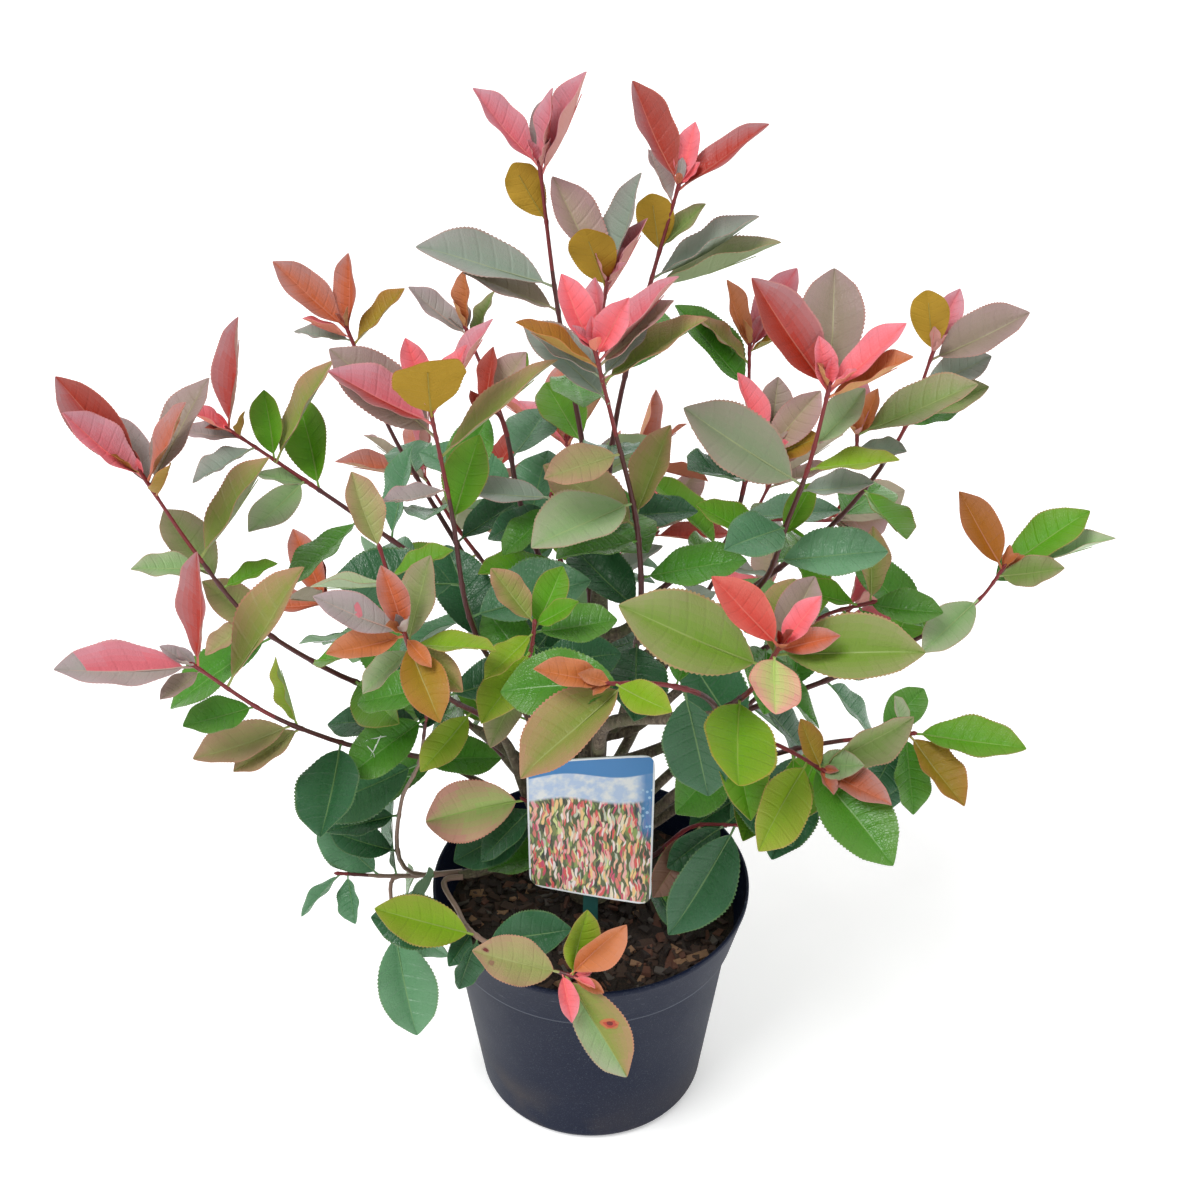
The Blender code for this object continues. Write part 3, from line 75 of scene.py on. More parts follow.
# Leaf tints: age, colour by the rib and foot, colour towards the margin and tip, underside
tintRows = {
    "coral": ("young", (0.90, 0.16, 0.18), (0.80, 0.25, 0.30), (0.76, 0.24, 0.17)),
    "flame": ("young", (0.62, 0.07, 0.05), (0.66, 0.15, 0.12), (0.62, 0.20, 0.12)),
    "rose": ("young", (0.66, 0.15, 0.18), (0.60, 0.29, 0.34), (0.60, 0.28, 0.25)),
    "wine": ("young", (0.42, 0.045, 0.030), (0.40, 0.20, 0.21), (0.50, 0.24, 0.20)),
    "scarlet": ("young", (0.36, 0.030, 0.012), (0.36, 0.085, 0.070), (0.52, 0.16, 0.09)),
    "terracotta": ("young", (0.54, 0.13, 0.05), (0.48, 0.24, 0.22), (0.50, 0.24, 0.12)),
    "rust": ("young", (0.38, 0.13, 0.012), (0.42, 0.16, 0.07), (0.44, 0.21, 0.08)),
    "apricot": ("young", (0.56, 0.18, 0.05), (0.56, 0.22, 0.12), (0.54, 0.26, 0.11)),
    "amber": ("young", (0.36, 0.17, 0.012), (0.42, 0.18, 0.04), (0.40, 0.24, 0.06)),
    # the next tint is a young leaf paled by a painted sky sheen
    "lilac": ("young", (0.36, 0.33, 0.30), (0.42, 0.33, 0.34), (0.44, 0.37, 0.33)),
    "blush": ("middle", (0.38, 0.30, 0.20), (0.44, 0.28, 0.27), (0.44, 0.37, 0.28)),
    "mauve": ("middle", (0.28, 0.23, 0.16), (0.34, 0.24, 0.22), (0.37, 0.33, 0.26)),
    "tan": ("middle", (0.33, 0.36, 0.12), (0.42, 0.27, 0.16), (0.42, 0.40, 0.24)),
    # the next tint is brightened to stand for light shining through the leaf, a painted glow
    "honey": ("broad", (0.30, 0.17, 0.008), (0.35, 0.14, 0.010), (0.40, 0.24, 0.025)),
    # the next tint is lighter than the leaf's own colour, painted light on a leaf that the crown above shades
    "peach": ("broad", (0.44, 0.66, 0.18), (0.72, 0.36, 0.28), (0.48, 0.42, 0.26)),
    "fresh": ("broad", (0.13, 0.30, 0.004), (0.19, 0.31, 0.015), (0.30, 0.44, 0.14)),
    "gold": ("middle", (0.32, 0.22, 0.015), (0.36, 0.18, 0.03), (0.36, 0.31, 0.10)),
    "bronze": ("middle", (0.22, 0.28, 0.05), (0.38, 0.23, 0.12), (0.31, 0.33, 0.18)),
    "olive": ("middle", (0.19, 0.28, 0.07), (0.30, 0.27, 0.15), (0.31, 0.38, 0.21)),
    # the next tint is a green leaf greyed by a painted sky sheen
    "sage": ("middle", (0.25, 0.32, 0.25), (0.31, 0.31, 0.28), (0.37, 0.42, 0.35)),
    "moss": ("middle", (0.22, 0.28, 0.16), (0.29, 0.26, 0.20), (0.35, 0.38, 0.29)),
    "pale": ("middle", (0.26, 0.42, 0.17), (0.36, 0.40, 0.25), (0.40, 0.50, 0.32)),
    "meadow": ("middle", (0.165, 0.29, 0.03), (0.27, 0.28, 0.11), (0.34, 0.46, 0.20)),
    "lime": ("middle", (0.21, 0.37, 0.012), (0.28, 0.34, 0.035), (0.34, 0.47, 0.16)),
    "leaf": ("middle", (0.10, 0.31, 0.008), (0.14, 0.28, 0.020), (0.25, 0.42, 0.15)),
    "fern": ("old", (0.06, 0.23, 0.016), (0.09, 0.23, 0.032), (0.20, 0.36, 0.16)),
    # the next tint is a dark leaf made lighter and bluer by a painted sky sheen
    "spruce": ("old", (0.11, 0.27, 0.13), (0.14, 0.30, 0.16), (0.22, 0.38, 0.22)),
    "blue": ("old", (0.07, 0.20, 0.09), (0.10, 0.23, 0.12), (0.20, 0.34, 0.20)),
    "dark": ("old", (0.022, 0.095, 0.032), (0.030, 0.11, 0.046), (0.14, 0.27, 0.12)),
    "brown": ("middle", (0.26, 0.13, 0.09), (0.20, 0.11, 0.08), (0.32, 0.20, 0.14)),
}
tints = {name: dict(zip(("age", "core", "outer", "under"), row)) for name, row in tintRows.items()}

# Single leaves with a shade of their own, by mass and number
shades = {
    ("foliage_front_red", 0): "flame", ("foliage_far_right", 0): "rust",
    ("foliage_front_red", 4): "meadow", ("foliage_front_red", 5): "meadow",
    ("foliage_left_high", 0): "wine", ("foliage_low_left", 1): "wine", ("foliage_peak_right", 2): "wine",
    ("foliage_right_high", 2): "mauve", ("foliage_rim_front", 3): "bronze",
    ("foliage_low_left_dark", 6): "blue", ("foliage_low_left_dark", 7): "blue",
    ("foliage_low_left_dark", 12): "spruce", ("foliage_low_left_dark", 13): "spruce",
    ("foliage_right_centre", 7): "moss", ("foliage_right_centre", 12): "spruce",
    ("foliage_centre", 13): "pale",
}

# Leaves with one half in another tint, up to a share of the blade: mass and number, tint, side, share. Most
# give the two sides of the fold a painted sheen and a painted shade; the pale half of rim_front 3 is the
# leaf's own colour.
halves = {
    ("foliage_low_left", 0): ("rose", 1, 0.78), ("foliage_rim_front", 3): ("pale", 1, 1.0),
    ("foliage_right_centre", 0): ("wine", 1, 1.0), ("foliage_far_left", 1): ("rose", 1, 1.0),
    ("foliage_far_left", 0): ("wine", -1, 1.0), ("foliage_peak_right", 0): ("wine", -1, 1.0),
    ("foliage_left_centre", 4): ("wine", -1, 1.0),
}

# Tints that the rule deals out by itself, and the turns and tilts it tries for a listed leaf, in degrees
youngTints = ("coral", "rose", "scarlet", "terracotta", "blush")
stemTints = ("bronze", "olive", "leaf", "sage", "fern")
lowTints = ("fern", "dark", "leaf", "fern", "dark", "blue")
nudges = ((0, 0), (6, 0), (-6, 0), (0, 9), (0, -9), (10, 8), (-10, 8), (10, -8), (-10, -8),
          (0, 18), (0, -18), (18, 0), (-18, 0), (16, 16), (-16, 16), (16, -16), (-16, -16))

stemFoot = 0.1903  # the compost's top and the gap

# Trunk: centre line and radius from the compost to the tip
trunkLine = (
    ((0.000, 0.020, stemFoot), 0.0200),
    ((-0.001, 0.021, 0.202), 0.0150),
    ((-0.006, 0.024, 0.260), 0.0122),
    ((0.002, 0.032, 0.340), 0.0105),
    ((0.006, 0.042, 0.430), 0.0085),
    ((0.008, 0.052, 0.520), 0.0066),
)

# Boughs: height on the trunk, radius at each end, places on the way and the tip
boughs = {
    "bough_centre": (0.375, 0.0050, 0.0039, ((0.034, -0.006, 0.46),)),
    "bough_left_centre": (0.286, 0.0060, 0.0047, ((-0.043, -0.002, 0.38),)),
    "bough_left_back": (0.400, 0.0050, 0.0039, ((-0.035, 0.050, 0.50),)),
    "bough_upper_left": (0.330, 0.0055, 0.0043, ((-0.068, 0.066, 0.44),)),
    "bough_left_high": (0.350, 0.0055, 0.0043, ((-0.075, 0.030, 0.47),)),
    "bough_far_left": (0.312, 0.0058, 0.0045, ((-0.100, 0.012, 0.385),)),
    "bough_low_left": (0.238, 0.0056, 0.0044, ((-0.100, 0.004, 0.335),)),
    "bough_front_left": (0.270, 0.0050, 0.0039, ((-0.072, -0.016, 0.395),)),
    "bough_front_small": (0.300, 0.0045, 0.0035, ((-0.022, -0.026, 0.43),)),
    "bough_low": (0.216, 0.0056, 0.0046, ((-0.055, 0.000, 0.245), (-0.115, -0.022, 0.249))),
    "bough_front": (0.335, 0.0062, 0.0046, ((0.012, -0.045, 0.43), (0.095, -0.140, 0.515))),
    "bough_right_centre": (0.430, 0.0055, 0.0043, ((0.085, 0.004, 0.50),)),
    "bough_right_inner": (0.455, 0.0050, 0.0039, ((0.060, 0.050, 0.50),)),
    "bough_right_high": (0.400, 0.0056, 0.0044, ((0.110, 0.060, 0.47),)),
    "bough_far_right": (0.330, 0.0056, 0.0044, ((0.120, 0.020, 0.39),)),
    "bough_right_mid": (0.362, 0.0048, 0.0037, ((0.080, 0.010, 0.43),)),
    "bough_right_front": (0.268, 0.0054, 0.0042, ((0.082, -0.034, 0.36),)),
    "bough_right_low": (0.248, 0.0052, 0.0041, ((0.115, 0.006, 0.338),)),
    "bough_back_left": (0.295, 0.0055, 0.0043, ((-0.032, 0.120, 0.38),)),
    "bough_back": (0.365, 0.0055, 0.0043, ((0.000, 0.105, 0.43),)),
    "bough_back_right": (0.300, 0.0055, 0.0043, ((0.060, 0.100, 0.37),)),
    "bough_low_back_left": (0.255, 0.0052, 0.0041, ((-0.080, 0.080, 0.30),)),
    "bough_low_back": (0.270, 0.0052, 0.0041, ((0.000, 0.105, 0.31),)),
    "bough_low_back_right": (0.250, 0.0052, 0.0041, ((0.085, 0.075, 0.30),)),
}

# Foliage masses: carrier, place beside its tip, and the shoots with their leaves, each as
# (cm back from the tip, clock degrees, degrees towards the viewer, cm, tint, and for some the share of
# the width that the front sees, below nought for the underside)
masses = {
    "foliage_peak_left": ("trunk", (-0.0034, 0.0, 0.0), (
        {"path": ((-0.004, 0.060, 0.615), (-0.025, 0.055, 0.757), (-0.035, 0.050, 0.860)),
         "leaves": ((0, -42, 20, 7.2, "rose", 0.85), (0, 5, 0, 5.5, "lilac"),
                    (0, 8, 35, 6.2, "rose", 0.45), (0, 25, 20, 8.2, "rose", 0.45),
                    (4.2, -35, 20, 4.9, "honey", -0.98), (9.5, -69, 15, 10.6, "sage", 0.75),
                    (11.5, -64, 22, 7.8, "mauve", 0.65)),
         "extra": 3},
        {"fork": 0.19, "path": ((0.006, 0.032, 0.735), (0.013, 0.020, 0.784)),
         "leaves": ((0, -29, 5, 8.6, "blush", 0.85), (0.3, -20, 42, 5.4, "honey", -0.98),
                    (0, 12, 5, 8.6, "sage", 0.5), (0.6, 26, 12, 6.4, "rose", 0.4))},
    )),
    "foliage_peak_right": ("trunk", (0.0034, 0.0, 0.0), (
        {"path": ((0.020, 0.076, 0.638), (0.046, 0.080, 0.756), (0.066, 0.080, 0.835)),
         "leaves": ((0, -26, 15, 8.2, "scarlet", 0.92), (0, 8, 8, 5.0, "coral", 0.98),
                    (0, 52, 15, 8.2, "scarlet", 0.7), (1.5, -20, -10, 4.8, "lilac", 0.7),
                    (5.5, -8, 32, 4.9, "honey", -0.98), (5.0, 45, 25, 4.6, "olive"),
                    (7.6, 61, 20, 9.3, "sage", 0.5), (8.4, 70, 12, 10.5, "olive", 0.32)),
         "extra": 3},
    )),
    "foliage_centre": ("bough_centre", (0, 0, 0), (
        {"path": ((0.040, -0.028, 0.545), (0.036, -0.036, 0.610), (0.017, -0.060, 0.713),
                  (0.005, -0.080, 0.777)),
         "leaves": ((0, -27, 20, 5.8, "coral", 0.98), (0, 0, 0, 5.4, "rose", 0.8),
                    (0, 27, 48, 5.7, "coral", 0.98), (0.3, 40, 15, 8.0, "rose", 0.5),
                    (0.4, 48, 22, 6.8, "blush", 0.6), (2.8, 53, 15, 8.4, "bronze", 0.55),
                    (2.4, 37, 8, 5.0, "sage", 0.75), (1.4, -61, 25, 6.8, "amber", 0.42),
                    (0.6, -53, 5, 6.0, "sage", 0.7), (4.8, -40, 5, 8.2, "sage", 0.85),
                    (10.0, -108, 35, 6.5, "tan", 0.98), (16.5, 16, 20, 7.4, "bronze", 0.8),
                    (17.5, -52, 15, 8.4, "tan", 0.98)),
         "extra": 5},
    )),
    "foliage_left_centre": ("bough_left_centre", (0, 0, 0), (
        {"path": ((-0.092, -0.055, 0.542), (-0.099, -0.080, 0.652), (-0.108, -0.100, 0.745)),
         "leaves": ((0, -16, 12, 5.0, "coral", 0.98), (0, 29, 15, 5.2, "coral", 0.7),
                    (0.2, 31, 8, 7.8, "rose", 0.5), (0.2, 0, 62, 7.6, "honey", -0.98),
                    (0.6, -59, 18, 8.0, "rose", 0.85), (2.7, -47, 15, 9.4, "mauve", 0.98),
                    (4.5, 47, 10, 10.7, "bronze", 0.45), (10.8, 14, 20, 6.8, "leaf", 0.98),
                    (7.5, -105, 22, 4.8, "lilac")),
         "extra": 6},
    )),
    "foliage_left_back": ("bough_left_back", (0, 0, 0), (
        {"path": ((-0.058, 0.052, 0.590), (-0.066, 0.060, 0.640), (-0.096, 0.090, 0.714)),
         "leaves": ((0, -3, 35, 5.0, "apricot", 0.65), (0.3, -51, 12, 6.0, "lilac", 0.85),
                    (1.0, 20, 0, 4.4, "olive")),
         "extra": 4},
        {"fork": 0.085, "path": ((-0.081, 0.030, 0.675),),
         "leaves": ((0, 9, 15, 4.9, "scarlet", 0.85), (0.3, 32, 20, 5.5, "blush"),
                    (0.8, 28, 0, 5.5, "leaf"), (2.0, -150, 22, 6.5, "fern"))},
    )),
    "foliage_upper_left": ("bough_upper_left", (0, 0, 0), (
        {"path": ((-0.130, 0.095, 0.552), (-0.160, 0.112, 0.604), (-0.195, 0.130, 0.696)),
         "leaves": ((0, -48, 20, 7.8, "terracotta", 0.92), (0, 0, 15, 6.2, "terracotta", 0.85),
                    (0.3, -62, 30, 4.2, "coral"), (1.0, -75, 0, 4.8, "sage"),
                    (0.5, 39, 15, 6.2, "gold", 0.6)),
         "extra": 5},
    )),
    "foliage_left_high": ("bough_left_high", (0, 0, 0), (
        {"path": ((-0.190, 0.045, 0.575), (-0.224, 0.050, 0.600), (-0.282, 0.050, 0.648)),
         "leaves": ((0, 7, 20, 8.8, "scarlet", 0.7), (0.3, -60, 40, 4.8, "coral", 0.5),
                    (0.8, -80, 8, 4.6, "lilac"), (0.4, 20, 60, 3.4, "amber"),
                    (4.5, 24, 15, 9.2, "bronze", 0.5), (4.3, -8, 5, 5.6, "leaf", 0.98),
                    (8.6, -14, -4, 8.2, "leaf", 0.98), (7.2, -141, 35, 6.5, "pale", 0.98),
                    (7.8, -75, 10, 4.4, "pale"), (2.5, -115, 20, 5.6, "sage")),
         "extra": 5},
    )),
    "foliage_far_left": ("bough_far_left", (0, 0, 0), (
        {"path": ((-0.212, -0.029, 0.476), (-0.261, -0.045, 0.532), (-0.297, -0.050, 0.600),
                  (-0.326, -0.050, 0.664)),
         "leaves": ((0, -40, 20, 9.2, "scarlet", 0.98), (0.1, -56, 30, 7.8, "coral", 0.75),
                    (0.2, 32, 30, 7.4, "terracotta", 0.6), (0.4, 24, 5, 9.0, "mauve", 0.8),
                    (0.5, -27, -5, 6.6, "lilac", 0.9), (0.8, 45, 60, 5.2, "amber"),
                    (9.0, -85, 20, 5.6, "pale", 0.75), (10.5, -33, -5, 7.2, "olive"),
                    (8.0, 33, 15, 9.5, "bronze", 0.6), (11.0, 62, 0, 4.6, "leaf"),
                    (14.5, -130, 20, 4.4, "tan"), (17.0, -56, 25, 6.8, "tan")),
         "extra": 5},
    )),
    "foliage_low_left": ("bough_low_left", (0, 0, 0), (
        {"path": ((-0.201, -0.090, 0.451), (-0.240, -0.130, 0.508), (-0.281, -0.150, 0.564)),
         "leaves": ((0, -93, 25, 9.7, "lilac", 0.85), (0, 5, 25, 8.8, "scarlet", 0.72),
                    (0.1, -130, 30, 3.6, "mauve"), (3.2, 28, 15, 10.7, "bronze", 0.65),
                    (6.2, -104, 30, 5.4, "fern", 0.9), (10.5, -110, 12, 7.8, "tan"),
                    (11.5, -120, 22, 6.0, "tan"), (11.0, -25, 0, 5.5, "lime", 0.5)),
         "extra": 3},
    )),
    "foliage_front_left": ("bough_front_left", (0, 0, 0), (
        {"path": ((-0.110, -0.120, 0.520), (-0.124, -0.160, 0.580), (-0.126, -0.180, 0.614)),
         "leaves": ((0, -69, 25, 6.8, "lilac", 0.92), (0, -12, 30, 5.4, "terracotta", 0.98),
                    (0, -105, 30, 5.8, "apricot", 0.95), (0.2, 137, 40, 3.4, "apricot", 0.98),
                    (0.3, 155, 30, 6.8, "gold", 0.98), (0.8, 128, 20, 5.2, "bronze"),
                    (0.5, 11, 20, 6.4, "olive", 0.9), (0.6, 85, 25, 6.6, "lime", 0.38),
                    (0.8, -128, 0, 4.6, "pale"), (19.6, -142, 25, 6.2, "lime", 0.98),
                    (10.5, -95, -15, 7.0, "fern"), (13.0, 70, -10, 6.5, "dark"),
                    (16.0, -60, -15, 7.5, "dark")),
         "extra": 0},
        {"fork": 0.06, "path": ((-0.145, -0.130, 0.649),),
         "leaves": ((0, -20, 15, 5.8, "tan"), (2.0, 60, 10, 5.0, "leaf"), (2.5, -85, 10, 5.5, "pale"))},
    )),
    "foliage_front_small": ("bough_front_small", (0, 0, 0), (
        {"path": ((-0.044, -0.110, 0.540), (-0.040, -0.140, 0.580), (-0.038, -0.150, 0.601)),
         "leaves": ((0, -36, 15, 5.0, "bronze", 0.9), (0, 62, 30, 3.8, "leaf"),
                    (0.8, -132, 25, 4.8, "lime"), (4.5, -146, 35, 7.0, "lime"),
                    (0.3, 25, -10, 5.4, "leaf"), (1.2, 78, 0, 6.0, "fern"), (3.0, 130, -5, 6.0, "dark"),
                    (8.5, -148, 15, 6.8, "olive"), (9.5, 75, -12, 7.2, "dark"),
                    (12.0, -50, -20, 7.0, "fern"), (14.0, 35, -15, 6.5, "dark")),
         "extra": 0},
    )),
    "foliage_low_left_dark": ("bough_low", (0.0, 0.0032, 0.0), (
        {"path": ((-0.140, -0.022, 0.249), (-0.170, -0.025, 0.250), (-0.215, -0.035, 0.262)),
         "leaves": ((0, -130, 20, 4.8, "blue"), (0.4, 175, 25, 4.4, "blue"), (0.8, -40, 0, 4.6, "blue"),
                    (3.4, -45, 25, 7.2, "blue", 0.98)),
         "extra": 3},
        {"fork": 0.082, "path": ((-0.156, -0.046, 0.353), (-0.138, -0.058, 0.402), (-0.129, -0.064, 0.452)),
         "leaves": ((0, -104, 15, 7.6, "fern", 0.95), (0.8, -80, -12, 8.2, "dark"),
                    (5.2, -114, 18, 9.9, "dark", 0.9), (6.8, -96, 0, 8.6, "dark"),
                    (12.5, -84, 15, 6.2, "dark"), (17.5, -80, 10, 6.1, "dark"),
                    (0.5, 15, 0, 6.0, "dark"), (5.0, 80, 0, 6.5, "fern"))},
        {"fork": 0.058, "path": ((-0.170, -0.052, 0.214),),
         "leaves": ((0, 170, 5, 9.4, "fern", 0.98), (0.3, 125, 0, 5.6, "fern"))},
    )),
    "foliage_rim_front": ("bough_low", (0.0, -0.0032, 0.0), (
        {"path": ((-0.112, -0.070, 0.252), (-0.092, -0.118, 0.268), (-0.050, -0.150, 0.272),
                  (-0.014, -0.165, 0.271)),
         "leaves": ((0, 12, 25, 6.0, "lime", 0.9), (0, 46, 30, 7.2, "apricot", 0.95),
                    (0.6, -70, 35, 8.0, "tan", 0.95), (0, 146, 5, 9.6, "pale", 0.9),
                    (0, 163, 40, 4.4, "coral", 0.95), (9.6, -71, 22, 8.8, "lime", 0.95),
                    (8.4, 80, 25, 7.5, "dark"), (10.5, -150, 30, 3.4, "dark"),
                    (9.2, -168, -5, 4.8, "dark"), (11.5, -83, 0, 8.0, "dark")),
         "extra": 0},
    )),
    "foliage_front_mid": ("bough_front", (-0.0030, -0.0008, 0.0), (
        {"path": ((0.081, -0.170, 0.553), (0.045, -0.195, 0.582), (0.016, -0.210, 0.593)),
         "leaves": ((0, -76, 25, 5.8, "apricot", 0.9), (0, 118, 35, 4.8, "lime", 0.98),
                    (0.8, -88, -5, 8.8, "fern"), (0.6, -124, 21, 9.8, "bronze", 0.8),
                    (6.4, 168, -18, 8.8, "dark", 0.9), (5.5, 20, -20, 5.0, "fern")),
         "extra": 0},
    )),
    "foliage_front_red": ("bough_front", (0.0030, 0.0008, 0.0), (
        {"path": ((0.113, -0.175, 0.560), (0.128, -0.210, 0.623)),
         "leaves": ((0, -42, 20, 6.9, "scarlet", 0.98), (0, 35, 25, 4.7, "coral", 0.9),
                    (0.1, 72, 30, 4.6, "terracotta", 0.98), (0.6, 184, 55, 5.8, "peach", 0.98),
                    (1.2, 84, 22, 10.0, "lime", 0.95), (3.2, -68, 22, 11.3, "olive", 0.98),
                    (1.6, 30, -12, 6.6, "mauve"), (2.0, 18, -28, 7.4, "bronze", 0.98),
                    (9.0, 188, 44, 8.4, "fresh", 0.98), (11.5, 166, 32, 8.4, "leaf", 0.98)),
         "extra": 0},
    )),
    "foliage_right_centre": ("bough_right_centre", (0, 0, 0), (
        {"path": ((0.131, -0.030, 0.554), (0.147, -0.055, 0.629), (0.157, -0.065, 0.676),
                  (0.166, -0.080, 0.750)),
         "leaves": ((0.2, -36, 20, 9.5, "scarlet", 0.98), (0.3, 6, -5, 9.4, "mauve", 0.98),
                    (0, 47, 20, 7.1, "coral", 0.72), (0, -10, 35, 4.5, "coral"),
                    (0, 64, 30, 6.8, "apricot", 0.5), (5.3, 43, 15, 5.4, "pale"),
                    (7.5, 78, 20, 6.6, "lime"), (9.0, -58, 22, 10.5, "olive", 0.98),
                    (9.6, 82, 8, 5.4, "sage"), (14.5, 30, 0, 4.8, "leaf"), (15.5, -62, 10, 7.0, "leaf")),
         "extra": 4},
    )),
    "foliage_right_inner": ("bough_right_inner", (0, 0, 0), (
        {"path": ((0.105, 0.050, 0.535), (0.122, 0.060, 0.580), (0.127, 0.095, 0.645), (0.127, 0.110, 0.690)),
         "leaves": ((0, -23, 20, 5.6, "apricot", 0.8), (0.2, 60, 30, 3.4, "gold"),
                    (0, 26, 0, 7.8, "rose"), (3.5, -35, 10, 8.9, "fern", 0.7),
                    (0.5, -42, 8, 5.6, "bronze")),
         "extra": 4},
        {"fork": 0.115, "path": ((0.138, 0.030, 0.636),),
         "leaves": ((0, -20, 20, 6.9, "coral", 0.7), (0, 12, 5, 6.2, "mauve"),
                    (0.1, 36, 22, 6.6, "blush"), (0.4, 70, 40, 5.0, "gold"), (5.0, -48, 20, 6.0, "fern"))},
    )),
    "foliage_right_high": ("bough_right_high", (0, 0, 0), (
        {"path": ((0.205, 0.060, 0.565), (0.244, 0.052, 0.642), (0.259, 0.040, 0.718)),
         "leaves": ((0, -8, 22, 5.0, "honey", -0.98), (0, 20, -5, 5.8, "rose"),
                    (0.2, 64, 20, 8.0, "blush", 0.92), (3.2, 65, 2, 6.0, "sage"),
                    (6.0, 68, 15, 6.4, "olive"), (7.0, 62, -8, 5.6, "fern")),
         "extra": 5},
        {"fork": 0.120, "path": ((0.205, 0.010, 0.640), (0.201, 0.000, 0.670)),
         "leaves": ((0, 65, 22, 9.6, "olive", 0.65), (0.3, 20, 20, 4.2, "apricot"),
                    (0, 0, 10, 5.0, "rose"), (0.6, 95, 40, 4.2, "sage"))},
    )),
    "foliage_far_right": ("bough_far_right", (0, 0, 0), (
        {"path": ((0.252, 0.010, 0.467), (0.313, 0.000, 0.526), (0.325, 0.000, 0.550)),
         "leaves": ((0, -30, 20, 7.4, "apricot", 0.98), (0, 48, 15, 8.2, "leaf", 0.72),
                    (0, 65, 10, 9.2, "pale", 0.4), (0, 86, 42, 5.8, "olive", 0.95),
                    (0.5, 60, -25, 5.2, "fern"), (3.2, -126, 25, 6.8, "pale", 0.95),
                    (8.4, -40, 15, 9.2, "fern")),
         "extra": 5},
    )),
    "foliage_right_mid": ("bough_right_mid", (0, 0, 0), (
        {"path": ((0.160, -0.006, 0.490), (0.190, -0.010, 0.515), (0.220, -0.020, 0.532)),
         "leaves": ((0, 5, 10, 6.0, "bronze"), (0.2, 95, 15, 6.0, "fern"), (0.6, 150, 20, 5.6, "fern"),
                    (1.0, -70, 10, 5.6, "leaf"), (2.5, 120, 15, 6.5, "leaf")),
         "extra": 5},
    )),
    "foliage_right_front": ("bough_right_front", (0, 0, 0), (
        {"path": ((0.139, -0.130, 0.478), (0.154, -0.158, 0.489), (0.168, -0.180, 0.494)),
         "leaves": ((0, -24, 15, 4.0, "gold"), (0, 66, 22, 7.8, "olive", 0.8),
                    (0.2, 113, 32, 6.4, "terracotta", 0.85), (1.4, 139, 32, 9.6, "fern", 0.98),
                    (0.3, 90, 50, 4.6, "pale"), (1.6, -145, 38, 8.8, "lime", 0.98),
                    (3.5, 178, 15, 6.0, "leaf")),
         "extra": 4},
    )),
    "foliage_right_low": ("bough_right_low", (0, 0, 0), (
        {"path": ((0.195, -0.072, 0.435), (0.222, -0.105, 0.465), (0.241, -0.130, 0.488)),
         "leaves": ((0, 92, 22, 8.3, "leaf", 0.75), (0.2, 139, 28, 6.8, "gold", 0.85),
                    (0.3, 172, 8, 6.0, "fern"), (0, -20, 30, 3.4, "pale"), (1.0, -155, 0, 5.8, "dark"),
                    (3.0, 175, -5, 6.2, "dark"), (3.5, 40, -20, 5.5, "fern")),
         "extra": 4},
    )),
    "foliage_inner_right": ("trunk_side", (0.222, (0.6, -0.8)), (
        {"path": ((0.052, -0.014, 0.262), (0.090, -0.030, 0.312), (0.121, -0.046, 0.326)),
         "leaves": ((0, -154, 15, 10.4, "dark", 0.95), (3.4, -142, 15, 7.2, "brown"),
                    (0.6, -138, -6, 6.0, "dark"), (5.5, 40, -10, 8.0, "dark"),
                    (1.0, 40, 0, 7.0, "dark"), (8.0, 172, 30, 5.0, "fern")),
         "extra": 1},
    )),
    "foliage_inner_left": ("trunk_side", (0.250, (-0.3, -0.95)), (
        {"path": ((-0.022, -0.010, 0.300), (-0.044, -0.024, 0.326), (-0.055, -0.028, 0.338)),
         "leaves": ((0, -97, 10, 8.4, "peach", 0.98), (2.2, -138, -5, 9.0, "dark"),
                    (1.2, -148, 8, 6.4, "dark")),
         "extra": 2},
    )),
    "foliage_inner_top": ("trunk_side", (0.484, (-0.9, -0.3)), (
        {"path": ((-0.024, 0.030, 0.540), (-0.030, 0.026, 0.600)),
         "leaves": ((0, -83, 22, 6.8, "sage"), (0.6, -132, 22, 5.6, "fern"),
                    (0.8, -105, -15, 6.2, "dark"), (0.3, 165, 25, 4.6, "leaf"),
                    (0.4, 80, 5, 6.5, "fern"), (0, 20, 0, 5.0, "leaf")),
         "extra": 3},
    )),
}

# Masses behind, which the rule fills by itself: path, how far back it forks and the fork's end
behind = {
    "foliage_back_left": (((-0.095, 0.165, 0.450), (-0.125, 0.185, 0.485), (-0.150, 0.205, 0.520)),
                          0.060, (-0.100, 0.245, 0.490)),
    "foliage_back": (((-0.005, 0.160, 0.480), (-0.012, 0.185, 0.520), (-0.022, 0.200, 0.556)),
                     0.060, (0.040, 0.245, 0.512)),
    "foliage_back_right": (((0.115, 0.155, 0.450), (0.140, 0.175, 0.485), (0.160, 0.195, 0.518)),
                           0.060, (0.215, 0.175, 0.490)),
    "foliage_low_back_left": (((-0.155, 0.125, 0.350), (-0.200, 0.145, 0.380), (-0.240, 0.150, 0.420)),
                              0.075, (-0.185, 0.215, 0.385)),
    "foliage_low_back": (((0.005, 0.180, 0.365), (-0.020, 0.225, 0.385), (-0.050, 0.255, 0.410)),
                         0.070, (0.060, 0.265, 0.420)),
    "foliage_low_back_right": (((0.155, 0.115, 0.345), (0.195, 0.140, 0.375), (0.235, 0.155, 0.410)),
                               0.070, (0.165, 0.220, 0.385)),
}
for name, (path, fork, forkEnd) in behind.items():
    main = {"path": path, "leaves": (), "young": 5, "extra": 4}
    branch = {"fork": fork, "path": (forkEnd,), "leaves": (), "young": 4, "extra": 2}
    if "low" in name:
        main.update(young=4, tints=lowTints)
        branch.update(young=3, extra=3, tints=lowTints)
    masses[name] = (name.replace("foliage", "bough"), (0, 0, 0), (main, branch))


